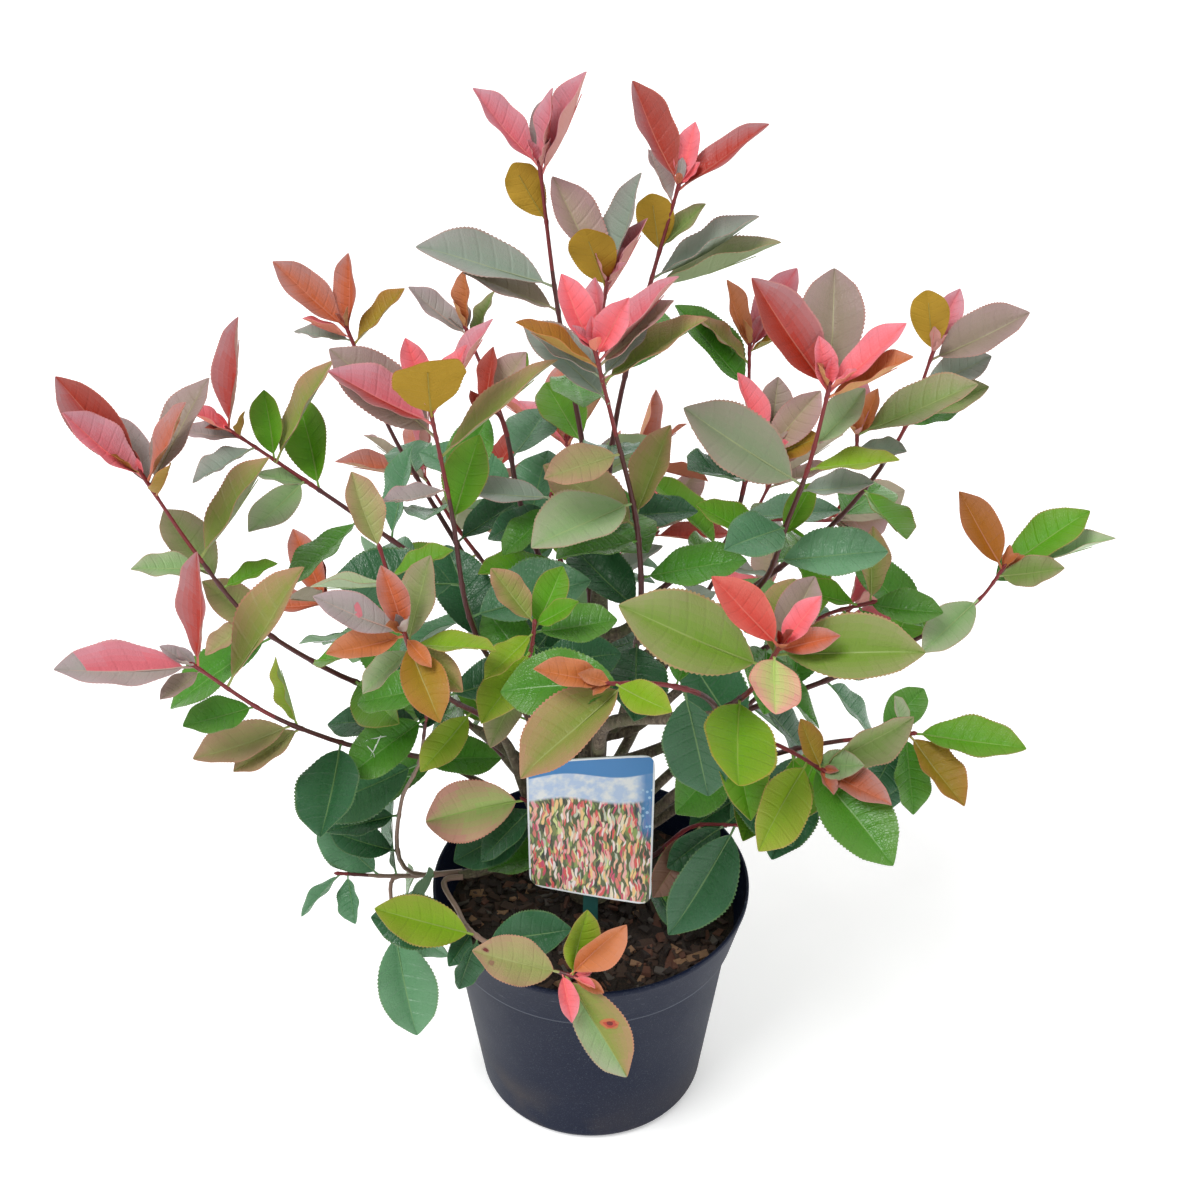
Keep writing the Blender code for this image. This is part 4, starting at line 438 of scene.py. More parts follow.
def smoothCurve(knots):
    knots = [Vector(k) for k in knots]
    slopes = [(b - a).normalized() for a, b in zip(knots, knots[1:])]
    lengths = [(b - a).length for a, b in zip(knots, knots[1:])]
    tangents = [slopes[0]]
    for k in range(1, len(slopes)):
        whole = lengths[k - 1] + lengths[k]
        tangents.append(slopes[k] * (lengths[k - 1] / whole) + slopes[k - 1] * (lengths[k] / whole))
    tangents.append(slopes[-1])
    points = []
    for k, length in enumerate(lengths):
        for step in range(growth["samples"]):
            t = step / growth["samples"]
            pull = t * t * (3 - 2 * t)
            points.append(knots[k] * (1 - pull) + knots[k + 1] * pull
                          + tangents[k] * (length * t * (1 - t) ** 2)
                          - tangents[k + 1] * (length * t * t * (1 - t)))
    return points + [knots[-1]]


def placeBack(points, back):
    for a, b in zip(points[::-1], points[-2::-1]):
        span = (a - b).length
        if back <= span:
            return a + (b - a) * (back / span), (a - b).normalized()
        back -= span
    return points[0].copy(), (points[1] - points[0]).normalized()


def headingsOf(points):
    last = len(points) - 1
    return [(points[min(k + 1, last)] - points[max(k - 1, 0)]).normalized() for k in range(last + 1)]


def reachOf(points):
    return sum((a - b).length for a, b in zip(points, points[1:]))


def keptSteps(points, slack, first=0, last=None):
    last = len(points) - 1 if last is None else last
    line = points[last] - points[first]
    far, where = slack, None
    for k in range(first + 1, last):
        share = min(1.0, max(0.0, (points[k] - points[first]).dot(line) / line.length_squared))
        off = (points[k] - points[first] - line * share).length
        if off > far:
            far, where = off, k
    if where is None:
        return [first, last]
    return keptSteps(points, slack, first, where)[:-1] + keptSteps(points, slack, where, last)


def tubeShell(points, headings, radii, sides):
    shell, faces = [], []
    heading = headings[0]
    across = heading.orthogonal().normalized()
    for point, turnedTo, radius in zip(points, headings, radii):
        across = (heading.rotation_difference(turnedTo) @ across).normalized()
        heading = turnedTo
        beside = heading.cross(across)
        for s in range(sides):
            angle = 2 * pi * s / sides
            shell.append(point + radius * (across * cos(angle) + beside * sin(angle)))
    for k in range(len(points) - 1):
        for s in range(sides):
            a, b = k * sides + s, k * sides + (s + 1) % sides
            faces.append((a, b, b + sides, a + sides))
    faces.append(tuple(range(sides))[::-1])
    faces.append(tuple(range(len(shell) - sides, len(shell))))
    return shell, faces


def treeOf(shell):
    return BVHTree.FromPolygons(shell[0], shell[1])


def taper(points, start, end):
    lengths = [0.0]
    for a, b in zip(points, points[1:]):
        lengths.append(lengths[-1] + (b - a).length)
    return [start + (end - start) * d / lengths[-1] for d in lengths]


def clearOf(tree, centre, heading, radius, gap):
    across = heading.orthogonal().normalized()
    beside = heading.cross(across)
    spots = [centre] + [centre + radius * share * (across * cos(k * pi / 4) + beside * sin(k * pi / 4))
                        for k in range(8) for share in (0.5, 1.0)]
    for spot in spots:
        near, normal, _, distance = tree.find_nearest(spot)
        if distance < gap or (spot - near).dot(normal) < 0:
            return False
    return True


def trunkAt(height):
    for (low, lowRadius), (high, highRadius) in zip(trunkLine, trunkLine[1:]):
        if height <= high[2]:
            share = (height - low[2]) / (high[2] - low[2])
            return Vector(low).lerp(Vector(high), share), lowRadius + (highRadius - lowRadius) * share
    return Vector(trunkLine[-1][0]), trunkLine[-1][1]


def startOnTrunk(trunkTree, height, towards, radius):
    centre, trunkRadius = trunkAt(height)
    outward = Vector((towards[0] - centre.x, towards[1] - centre.y, 0)).normalized()
    shoulder = outward * growth["shoulder"][0] + Vector((0, 0, growth["shoulder"][1]))
    out = trunkRadius * 0.8
    while not clearOf(trunkTree, centre + outward * out, shoulder.normalized(), radius, growth["gap"]):
        out += growth["seatStep"]
    start = centre + outward * out
    return start, start + shoulder


def limbCurves(trunkTree):
    limbs = {}
    for name, (height, rootRadius, tipRadius, places) in boughs.items():
        start, shoulder = startOnTrunk(trunkTree, height, places[0], rootRadius)
        limbs[name] = {"knots": [start, shoulder] + [Vector(p) for p in places],
                       "radii": (rootRadius, tipRadius)}
    return limbs


def clockHeading(clock, towards):
    clock, towards = radians(clock), radians(towards)
    flat = Vector((1, 0, 0)) * sin(clock) + Vector((0, sin(lookDown), cos(lookDown))) * cos(clock)
    return flat * cos(towards) + viewer * sin(towards)


def ageOf(tint):
    return ages[tints[tint]["age"]]


def makeLeaf(base, heading, axis, length, tint, dice, seen=None):
    age, pull = ageOf(tint), growth["facePull"]
    up = axis * pull[0] + Vector((0, 0, pull[1])) + viewer * pull[2]
    face = (up - heading * up.dot(heading)).normalized()
    twist = radians(dice.uniform(-growth["twist"], growth["twist"]))
    if seen is None:
        face = Quaternion(heading, twist) @ face
    else:
        opened = (viewer - heading * viewer.dot(heading)).normalized()
        edge = heading.cross(opened)
        face = opened * seen + edge * copysign(sqrt(1 - seen * seen), face.dot(edge))
    return {"base": base, "heading": heading, "face": face, "length": length, "tint": tint, "axis": axis,
            "width": length * age["width"] * dice.uniform(0.94, 1.08),
            "bend": age["bend"] * dice.uniform(0.3, 1.6)}


def leafShell(leaf, margin=0.0, fromShare=0.0):
    base, heading, face = leaf["base"], leaf["heading"], leaf["face"]
    side = heading.cross(face)
    length = leaf["length"]

    def spine(share):
        return base + heading * (share * length) - face * (leaf["bend"] * length * share * share)

    points = [spine(fromShare) - heading * (growth["rootDepth"] if fromShare == 0 else 0)]
    for share, width in growth["blade"]:
        half = leaf["width"] / 2 * width + margin
        middle = spine(share) + face * margin
        points += [middle - side * half, middle + side * half,
                   middle - face * (length * growth["leafThickness"] + 2 * margin)]
    points.append(spine(1.0) + heading * margin)
    faces = [(0, 1 + k, 1 + (k + 1) % 3) for k in range(3)]
    for k in range(3):
        a, b = 1 + k, 1 + (k + 1) % 3
        faces += [(a, a + 3, b), (b, a + 3, b + 3)]
    faces += [(7, 4 + (k + 1) % 3, 4 + k) for k in range(3)]
    return points, faces


def placeListed(entry, curve, index, dice):
    back, clock, towards, length, tint, *seen = entry
    base, axis = placeBack(curve, back / 100 + growth["rosetteStep"] * (index if back < 1 else 0))
    return makeLeaf(base, clockHeading(clock, towards), axis, length / 100, tint, dice, *seen)


def placeDealt(back, turn, lift, length, tint, curve, dice):
    base, axis = placeBack(curve, back)
    outward = Quaternion(axis, turn) @ axis.orthogonal().normalized()
    heading = outward * cos(lift) + axis * sin(lift)
    return makeLeaf(base, heading.normalized(), axis, length, tint, dice)


def fits(leaf, outside, own):
    whole = treeOf(leafShell(leaf, growth["leafClearance"]))
    if any(whole.overlap(tree) for tree in outside):
        return False
    blade = treeOf(leafShell(leaf, 0.0, growth["ownShare"]))
    return not any(blade.overlap(tree) for tree in own)


def growMass(number, curves, shoots, outside):
    dice = Random(growth["seed"] + number)
    leaves, own = [], []

    def keep(leaf):
        leaves.append(leaf)
        own.append(treeOf(leafShell(leaf, 0.0, growth["ownShare"])))

    for curve, shoot in zip(curves, shoots):
        for index, entry in enumerate(shoot["leaves"]):
            back, clock, towards = entry[:3]
            for turn, tilt in nudges:
                leaf = placeListed((back, clock + turn, towards + tilt, *entry[3:]), curve, index, dice)
                if fits(leaf, outside, own):
                    keep(leaf)
                    break
    for curve, shoot in zip(curves, shoots):
        reach = reachOf(curve)
        phase = dice.uniform(0, 2 * pi)
        count = shoot.get("young", 0)
        for k in range(count + shoot.get("extra", 0)):
            atTip = k < count
            where = "tip" if atTip else "side"
            first = growth["firstBack"] if count else reach * growth["listedShare"]
            share = (k - count + 0.5) / max(1, shoot.get("extra", 0))
            spare = reach - growth["footMargin"] - first
            back = growth["rosetteStep"] * k if atTip else first + share * spare
            lift = radians(dice.uniform(*growth["dealtLift"][where]))
            length = dice.uniform(*growth["dealtLength"][where])
            low = stemTints if count else lowTints
            tint = dice.choice(youngTints if atTip else shoot.get("tints", low))
            for attempt in range(growth["tries"]):
                turn = phase + growth["goldenTurn"] * k + growth["tryTurn"] * attempt
                leaf = placeDealt(back, turn, lift, length, tint, curve, dice)
                if fits(leaf, outside, own):
                    keep(leaf)
                    break
    return leaves


def grownCurve(name, limbs):
    first = next(shoots for carrier, _, shoots in masses.values() if carrier == name)
    return smoothCurve(limbs[name]["knots"] + [Vector(p) for p in first[0]["path"]])


def tipOf(name, limbs):
    if name == "trunk":
        curve = smoothCurve([p for p, _ in trunkLine])
        return curve[-1], headingsOf(curve)[-1]
    end = (len(limbs[name]["knots"]) - 1) * growth["samples"]
    whole = grownCurve(name, limbs)
    return whole[end], headingsOf(whole)[end]


def massCurves(name, limbs, trunkTree):
    carrier, side, shoots = masses[name]
    path = [Vector(p) for p in shoots[0]["path"]]
    if carrier == "trunk_side":
        height, direction = side
        towards = trunkAt(height)[0] + Vector((*direction, 0))
        start, shoulder = startOnTrunk(trunkTree, height, towards, growth["rootRadius"])
        main = smoothCurve([start, shoulder] + path)
        heading = (shoulder - start).normalized()
    else:
        tip, heading = tipOf(carrier, limbs)
        offset = Vector(side)
        start = tip + offset - heading * offset.dot(heading) + heading * (growth["gap"] + growth["seatStep"])
        main = smoothCurve([start, start + heading * growth["lead"]] + path)
    curves = [(main, heading)]
    for shoot in shoots[1:]:
        base, heading = placeBack(main, shoot["fork"])
        curve = smoothCurve([base, base + heading * growth["lead"]] + [Vector(p) for p in shoot["path"]])
        curves.append((curve, heading))
    return curves


def taperingTube(curve, first, last, ends, sides):
    headings = headingsOf(curve)
    headings[0] = first or headings[0]
    headings[-1] = last or headings[-1]
    steps = keptSteps(curve, growth["slack"])
    points = [curve[k] for k in steps]
    return tubeShell(points, [headings[k] for k in steps], taper(points, *ends), sides)


def growPlant():
    centres = smoothCurve([p for p, _ in trunkLine])
    widths = [r for _, r in trunkLine] + [trunkLine[-1][1]]
    radii = []
    for k in range(len(centres)):
        span, share = divmod(k, growth["samples"])
        radii.append(widths[span] + (widths[span + 1] - widths[span]) * share / growth["samples"])
    headings = headingsOf(centres)
    headings[0] = Vector((0, 0, 1))
    steps = range(0, len(centres), growth["samples"] // 2)
    trunkTree = treeOf(tubeShell([centres[k] for k in steps], [headings[k] for k in steps],
                                 [radii[k] for k in steps], 12))
    limbs = limbCurves(trunkTree)
    solids = [trunkTree]
    for name in ("pot", "compost", "label_card", "label_stake"):
        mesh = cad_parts[name].data
        solids.append(treeOf(([v.co for v in mesh.vertices], [tuple(p.vertices) for p in mesh.polygons])))
    for name in boughs:
        end = (len(limbs[name]["knots"]) - 1) * growth["samples"] + 1
        limbs[name]["curve"] = grownCurve(name, limbs)[:end]
        shell = taperingTube(limbs[name]["curve"], None, tipOf(name, limbs)[1], limbs[name]["radii"], 5)
        solids.append(treeOf(shell))
    curves = {name: massCurves(name, limbs, trunkTree) for name in masses}
    stemTrees = {}
    for name in masses:
        stemTrees[name] = []
        for k, (curve, heading) in enumerate(curves[name]):
            ends = (growth["rootRadius"] * (1 if k == 0 else growth["forkShare"]), growth["tipRadius"])
            stemTrees[name].append(treeOf(taperingTube(curve, heading, None, ends, 3)))
    grown, leaves = [], {}
    for number, name in enumerate(masses):
        outside = solids + grown + [t for other in masses if other != name for t in stemTrees[other]]
        lines = [[curve[k] for k in keptSteps(curve, growth["slack"])] for curve, _ in curves[name]]
        leaves[name] = growMass(number, lines, masses[name][2], outside)
        grown += [treeOf(leafShell(leaf)) for leaf in leaves[name]]
    return {"trunk": (centres, radii), "limbs": limbs, "curves": curves, "leaves": leaves}


def node(tree, kind, inputs=None, **settings):
    made = tree.nodes.new("ShaderNode" + kind)
    for name, value in settings.items():
        setattr(made, name, value)
    for name, value in (inputs or {}).items():
        if isinstance(value, bpy.types.NodeSocket):
            tree.links.new(value, made.inputs[name])
        else:
            made.inputs[name].default_value = value
    return made


def newGroup(name, takes, gives):
    group = bpy.data.node_groups.new(name, "ShaderNodeTree")
    for direction, sockets in (("INPUT", takes), ("OUTPUT", gives)):
        for label, value in sockets.items():
            kind = "NodeSocketVector" if isinstance(value, Vector) else "NodeSocketFloat"
            socket = group.interface.new_socket(name=label, in_out=direction, socket_type=kind)
            if kind != "NodeSocketVector":
                socket.default_value = value
    return group, group.nodes.new("NodeGroupInput").outputs, group.nodes.new("NodeGroupOutput").inputs


def ramp(tree, factor, *stops):
    made = node(tree, "ValToRGB", {"Fac": factor})
    while len(made.color_ramp.elements) < len(stops):
        made.color_ramp.elements.new(0.5)
    for element, (place, value) in zip(made.color_ramp.elements, stops):
        element.position = place
        element.color = (value, value, value, 1) if isinstance(value, (int, float)) else (*value, 1)
    return made.outputs["Color"]


def fade(tree, factor, empty, full):
    return ramp(tree, factor, (empty, 0.0), (full, 1.0))


def maths(tree, operation, first, second=0.0, third=0.0):
    return node(tree, "Math", {0: first, 1: second, 2: third}, operation=operation).outputs[0]


def mixed(tree, factor, first, second):
    made = node(tree, "Mix", {0: factor}, data_type="RGBA")
    for place, value in ((6, first), (7, second)):
        if isinstance(value, bpy.types.NodeSocket):
            tree.links.new(value, made.inputs[place])
        else:
            made.inputs[place].default_value = (*value, 1)
    return made.outputs[2]


def ranged(tree, value, given, wanted):
    return node(tree, "MapRange", {"Value": value, "From Min": given[0], "From Max": given[1],
                                   "To Min": wanted[0], "To Max": wanted[1]}).outputs[0]


def newMaterial(name, colour, roughness, **settings):
    material = bpy.data.materials.new(name)
    material.use_nodes = True
    material.diffuse_color = (*colour, 1)
    shader = material.node_tree.nodes["Principled BSDF"]
    shader.inputs["Base Color"].default_value = (*colour, 1)
    shader.inputs["Roughness"].default_value = roughness
    for label, value in settings.items():
        shader.inputs[label.replace("_", " ")].default_value = value
    return material, material.node_tree, shader


def noiseOf(tree, where, scale, detail, roughness=0.5, output="Fac"):
    return node(tree, "TexNoise", {"Vector": where, "Scale": scale, "Detail": detail,
                                   "Roughness": roughness}).outputs[output]


def mapped(tree, where, **settings):
    return node(tree, "Mapping", {"Vector": where, **settings}).outputs[0]


def useGroup(tree, shader, group, inputs):
    made = node(tree, "Group", node_tree=group)
    for label, value in inputs.items():
        made.inputs[label].default_value = value
    for label in ("Roughness", "Normal"):
        tree.links.new(made.outputs[label], shader.inputs[label])


def relief(tree, ends, height, strength, distance, finish):  # bumps and an uneven finish
    bump = node(tree, "Bump", {"Strength": strength, "Distance": distance, "Height": height})
    tree.links.new(bump.outputs["Normal"], ends["Normal"])
    tree.links.new(maths(tree, "MULTIPLY_ADD", *finish), ends["Roughness"])


def leafGroup():  # veins along the blade's own rows, fine cells between them
    group, takes, gives = newGroup("leafSurface", {"Roughness": 0.4, "Vein Depth": 0.3, "Veins": 8.0},
                                   {"Roughness": 0.4, "Normal": Vector()})
    where = node(group, "TexCoord").outputs["UV"]
    where = mapped(group, where, Location=(-0.5, 0, 0))
    split = node(group, "SeparateXYZ", {"Vector": where})
    along = maths(group, "MULTIPLY", split.outputs["Y"], takes["Veins"])
    vein = maths(group, "PINGPONG", along, 0.5)
    rise = node(group, "MapRange", {"Value": vein, "From Max": 0.16},
                interpolation_type="SMOOTHSTEP").outputs[0]
    cells = node(group, "TexVoronoi", {"Vector": mapped(group, where, Scale=(16, 44, 1)), "Scale": 1.0},
                 feature="DISTANCE_TO_EDGE").outputs["Distance"]
    cell = ranged(group, cells, (0.0, 0.22), (0.0, 0.35))
    cloud = noiseOf(group, node(group, "TexCoord").outputs["Object"], 90.0, 3.0)
    height = maths(group, "ADD", rise, maths(group, "MULTIPLY_ADD", cloud, 0.5, cell))
    uneven = maths(group, "SUBTRACT", cloud, 0.5)
    relief(group, gives, height, takes["Vein Depth"], 0.0008, (uneven, 0.35, takes["Roughness"]))
    return group


def grainGroup():  # small bumps and an uneven finish, for stems, chips and plain plastic
    inputs = {"Roughness": 0.5, "Scale": 300.0, "Depth": 0.3, "Stretch": 1.0}
    group, takes, gives = newGroup("fineGrain", inputs, {"Roughness": 0.5, "Normal": Vector()})
    stretch = node(group, "CombineXYZ", {"X": 1.0, "Y": 1.0, "Z": takes["Stretch"]}).outputs[0]
    where = mapped(group, node(group, "TexCoord").outputs["Object"], Scale=stretch)
    cloud = noiseOf(group, where, takes["Scale"], 4.0)
    uneven = maths(group, "SUBTRACT", cloud, 0.5)
    relief(group, gives, cloud, takes["Depth"], 0.0006, (uneven, 0.4, takes["Roughness"]))
    return group


leafSurface = leafGroup()
fineGrain = grainGroup()


def grainMaterial(name, colour, roughness, scale, depth, stretch=1.0):
    material, tree, shader = newMaterial(name, colour, roughness)
    useGroup(tree, shader, fineGrain, {"Roughness": roughness, "Scale": scale, "Depth": depth,
                                       "Stretch": stretch})
    return material


def placed(name, data):
    made = bpy.data.objects.new(name, data)
    bpy.context.scene.collection.objects.link(made)
    return made


def addPiece(name, mesh, materials, nodes):
    for material in materials:
        mesh.materials.append(material)
    piece = placed(name, mesh)
    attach(piece, "root")
    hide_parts(*nodes)
    return piece


def meshOf(shape, name, sharp=50):
    bmesh.ops.recalc_face_normals(shape, faces=shape.faces)
    mesh = bpy.data.meshes.new(name)
    shape.to_mesh(mesh)
    shape.free()
    mesh.shade_smooth()
    mesh.set_sharp_from_angle(angle=radians(sharp))
    return mesh


def joinedMesh(name, parts, sharp=50, uvs=None):  # parts: (points, faces, material index of each face)
    points = np.concatenate([p for p, _, _ in parts])
    faces, kinds, start = [], [], 0
    for p, f, k in parts:
        faces += [tuple(start + v for v in face) for face in f]
        kinds += list(k)
        start += len(p)
    mesh = bpy.data.meshes.new(name)
    mesh.from_pydata(points.tolist(), [], faces)
    mesh.polygons.foreach_set("material_index", kinds)
    if uvs is not None:
        corners = np.empty(len(mesh.loops), np.int32)
        mesh.loops.foreach_get("vertex_index", corners)
        layer = mesh.uv_layers.new(name="blade")
        layer.data.foreach_set("uv", uvs[corners].astype(np.float32).ravel())
    mesh.shade_smooth()
    mesh.set_sharp_from_angle(angle=radians(sharp))
    return mesh


def mix3(colour, other, share):
    return tuple(a + (b - a) * share for a, b in zip(colour, other))


# Leaves
leafLook = {
    "columns": (-1.0, -0.95, -0.74, -0.54, -0.36, -0.19, -0.024,
                0.024, 0.19, 0.36, 0.54, 0.74, 0.95, 1.0),  # across the blade, -1 and 1 at its margins
    "rows": 16, "shades": 7, "petiole": 0.09,
    "thickness": 0.0005, "sweep": 0.13, "groove": 0.0004, "teethPerRow": 2, "wave": 0.0018,
    "sickle": 0.07, "twist": 14, "recurve": 0.045, "petioleRadius": (0.0012, 0.0007, 0.0004), "ribEnd": 0.80,
    "budLeaves": 3, "budLength": (0.014, 0.030), "budStep": 0.0005, "budLift": (58, 80),
    "veinDepth": 0.45, "ribDrop": 0.4, "underRough": 0.18, "underGloss": 0.7,
    "ripples": (1.4, 2.6), "lopsided": 0.05, "grown": 0.06,  # a leaf of this length has its full relief
    "drawnTip": (0.84, 0.16), "leastWidth": 0.008,
    "fade": (0.72, 0.42),  # how fast the outer colour comes in, across the blade and along it
}


def leafTemplate():
    columns, rows, teeth = leafLook["columns"], leafLook["rows"], leafLook["teethPerRow"]
    outward, ahead = leafLook["fade"]
    shape = bmesh.new()
    bmesh.ops.create_grid(shape, x_segments=len(columns) - 1, y_segments=rows, size=1.0)
    for vert in shape.verts:
        column = round((vert.co.x + 1) / 2 * (len(columns) - 1))
        vert.co = Vector((columns[column], (vert.co.y + 1) / 2, 0))
    rim = [e for e in shape.edges if abs(abs(e.verts[0].co.x) - 1) + abs(abs(e.verts[1].co.x) - 1) < 1e-6]
    bmesh.ops.subdivide_edges(shape, edges=rim, cuts=2 * teeth - 1)
    lift = bmesh.ops.extrude_face_region(shape, geom=list(shape.faces), use_keep_orig=True)
    for vert in lift["geom"]:
        if isinstance(vert, bmesh.types.BMVert):
            vert.co.z = 1
    bmesh.ops.recalc_face_normals(shape, faces=shape.faces)
    shape.verts.index_update()
    points = np.array([v.co[:] for v in shape.verts])
    faces, roles = [], []
    for face in shape.faces:
        middle = face.calc_center_median()
        reach = abs(middle.x)
        last = leafLook["shades"]
        if middle.z < 0.25:
            role = last + 2
        elif middle.z < 0.75 or reach > columns[-2]:
            role = last
        elif reach < columns[len(columns) // 2]:
            role = last + 1
        else:  # from the rib and foot to the margin and tip
            role = min(last - 1, int(last * (outward * reach + ahead * middle.y ** 1.5) ** 1.25))
        faces.append(tuple(v.index for v in face.verts))
        roles.append((role, middle.x, middle.y))
    shape.free()
    return points, faces, roles


template, templateFaces, templateRoles = leafTemplate()


def outlineAt(share, outline):  # half width along the blade, with a short drawn-in tip
    foot, tip, drawn = outline
    start, reach = leafLook["drawnTip"]
    share = np.clip(share, 1e-4, 1 - 1e-4)
    peak = foot / (foot + tip)
    body = share ** foot * (1 - share) ** tip / (peak ** foot * (1 - peak) ** tip)
    return body * (1 - drawn * np.clip((share - start) / reach, 0, 1)) + leafLook["leastWidth"]


def ribLow(leaf, outline, lift):  # how far the fold lets the rib down
    return leafLook["ribDrop"] * leaf["width"] / 2 * outline * lift


def droop(leaf, along, recurve):  # how far the blade hangs below its heading
    return leaf["length"] * (leaf["bend"] * along ** 2 + recurve * (along ** 5 - 0.2 * along))


def bladePoints(leaf, dice, spots=None):
    age = ageOf(leaf["tint"])
    lift = tan(radians(dice.uniform(*age["fold"])))
    sickle = dice.uniform(-1, 1) * leafLook["sickle"]
    turn = radians(dice.uniform(-1, 1) * leafLook["twist"])
    ripple, phase = dice.uniform(*leafLook["ripples"]), dice.uniform(0, 6)
    lopsided = dice.uniform(-leafLook["lopsided"], leafLook["lopsided"])
    recurve = dice.uniform(0.2, 1.0) * leafLook["recurve"]
    scale = min(1.0, leaf["length"] / leafLook["grown"])
    across, share, top = (template if spots is None else spots).T
    reach = np.abs(across)
    rows = leafLook["rows"]
    ahead = np.clip(share + leafLook["sweep"] * np.sin(pi * share) ** 0.8, 0, 1)
    outline = outlineAt(ahead, age["outline"])
    step = np.round(share * rows * leafLook["teethPerRow"] * 2) % 2
    tooth = np.where(step == 1, 1.0, -1.0) * (reach > 0.99)
    half = leaf["width"] / 2 * outline * (1 + age["teeth"] * tooth) * (1 + lopsided * np.sign(across))
    along = share + (ahead - share) * reach ** 1.25
    crest = np.cos(pi * share * rows) * np.sin(pi * np.minimum(reach, 1))
    height = age["quilt"] * scale * crest * np.sin(pi * share)
    height -= leafLook["groove"] * scale * (reach < 0.1) * top
    wave = np.sin(ripple * 2 * pi * along + phase + (across > 0) * 1.3)
    height += leafLook["wave"] * scale * wave * reach ** 2 * outline
    height += leafLook["thickness"] * scale * (top - 0.5)
    side = across * half
    height += half * lift * (reach + age["cup"] * (reach ** 2 - reach)) - ribLow(leaf, outline, lift)
    spin = turn * (along - 0.4)
    side, height = side * np.cos(spin) - height * np.sin(spin), side * np.sin(spin) + height * np.cos(spin)
    along = leafLook["petiole"] + (1 - leafLook["petiole"]) * along
    side = side + sickle * leaf["length"] * along ** 2
    height = height - droop(leaf, along, recurve)
    heading, face = np.array(leaf["heading"]), np.array(leaf["face"])
    beside = np.array(leaf["heading"].cross(leaf["face"]))
    place = np.array(leaf["base"]) + np.outer(along * leaf["length"], heading)
    return place + np.outer(side, beside) + np.outer(height, face), (sickle, lift, scale, recurve)


def petioleShell(leaf, form):
    sickle, lift, scale, recurve = form
    heading, face = leaf["heading"], leaf["face"]
    beside = heading.cross(face)
    length, outline = leaf["length"], ageOf(leaf["tint"])["outline"]
    points = [leaf["base"] - heading * growth["rootDepth"]]
    radii = [leafLook["petioleRadius"][0] * scale]
    for share in (0.05, leafLook["petiole"], 0.2, 0.45, leafLook["ribEnd"]):
        blade = max(0.0, (share - leafLook["petiole"]) / (1 - leafLook["petiole"]))
        broad = float(outlineAt(blade, outline)) if blade > 0 else 0.0
        drop, low = droop(leaf, share, recurve), ribLow(leaf, broad, lift)
        points.append(leaf["base"] + heading * share * length + beside * sickle * length * share ** 2
                      - face * (drop + low + leafLook["thickness"] * scale * 0.6))
        first, middle, last = leafLook["petioleRadius"]
        radii.append((first + (middle - first) * share / 0.2 if share < 0.2 else
                      middle + (last - middle) * (share - 0.2) / 0.6) * scale)
    return tubeShell(points, headingsOf(points), radii, 5)


# Marks on single leaves: mass, number, share across and along, half sizes in metres, turn, colours outward in
leafMarks = (
    ("foliage_rim_front", 3, (-0.44, 0.46), (0.0066, 0.0058), 0, ("Scar", "Rust", "Core")),
    ("foliage_rim_front", 2, (0.40, 0.84), (0.0052, 0.0036), 30, ("Dead", "Core")),
    ("foliage_rim_front", 2, (-0.45, 0.74), (0.0034, 0.0028), 0, ("Dead",)),
    ("foliage_front_left", 0, (0.25, 0.45), (0.0046, 0.0036), 20, ("Blot",)),
    ("foliage_low_left_dark", 4, (0.25, 0.52), (0.0006, 0.0120), 20, ("Scratch",)),
    ("foliage_low_left_dark", 4, (0.45, 0.45), (0.0005, 0.0090), -30, ("Scratch",)),
    ("foliage_low_left_dark", 4, (0.20, 0.60), (0.0005, 0.0075), 75, ("Scratch",)),
)
markColours = {"Scar": (0.46, 0.15, 0.05), "Rust": (0.42, 0.05, 0.03), "Core": (0.15, 0.012, 0.010),
               "Dead": (0.30, 0.17, 0.10), "Blot": (0.60, 0.17, 0.20), "Scratch": (0.70, 0.76, 0.68)}
# Patches: corners, how uneven they are, how much smaller the next layer is, and the heights of the rim,
# the middle and each further layer, with the blade's underside at 0 and its top at 1
markLook = {"corners": 14, "uneven": (0.82, 1.12), "smaller": 0.32, "rim": 1.5, "middle": 1.6, "layer": 0.4}


def markShells(leaf, state, mark):  # an uneven patch that follows the blade, with a smaller one on it
    shells = []
    dice = Random(7)
    corners = markLook["corners"]
    centre, sizes, turn, kinds = mark[2], mark[3], radians(mark[4]), mark[5]
    for layer, kind in enumerate(kinds):
        rise = markLook["layer"] * layer
        ring = []
        for k in range(corners):
            angle = 2 * pi * k / corners
            rough = dice.uniform(*markLook["uneven"]) * (1 - markLook["smaller"] * layer)
            x, y = sizes[0] * rough * cos(angle), sizes[1] * rough * sin(angle)
            ring.append((centre[0] + (x * cos(turn) - y * sin(turn)) / (leaf["width"] / 2),
                         centre[1] + (x * sin(turn) + y * cos(turn)) / leaf["length"],
                         markLook["rim"] + rise))
        again = Random()
        again.setstate(state)
        points, _ = bladePoints(leaf, again, np.array([(*centre, markLook["middle"] + rise)] + ring))
        shells.append((points, [(0, 1 + k, 1 + (k + 1) % corners) for k in range(corners)], kind))
    return shells


def buildMarks(found):
    labels = sorted({kind for _, _, kind in found})
    parts = [(points, faces, [labels.index(kind)] * len(faces)) for points, faces, kind in found]
    mesh = joinedMesh("leaf_marks", parts)
    materials = [grainMaterial("mark" + label, markColours[label], 0.6, 400.0, 0.2) for label in labels]
    addPiece("leaf_marks", mesh, materials, sorted({mark[0] for mark in leafMarks}))


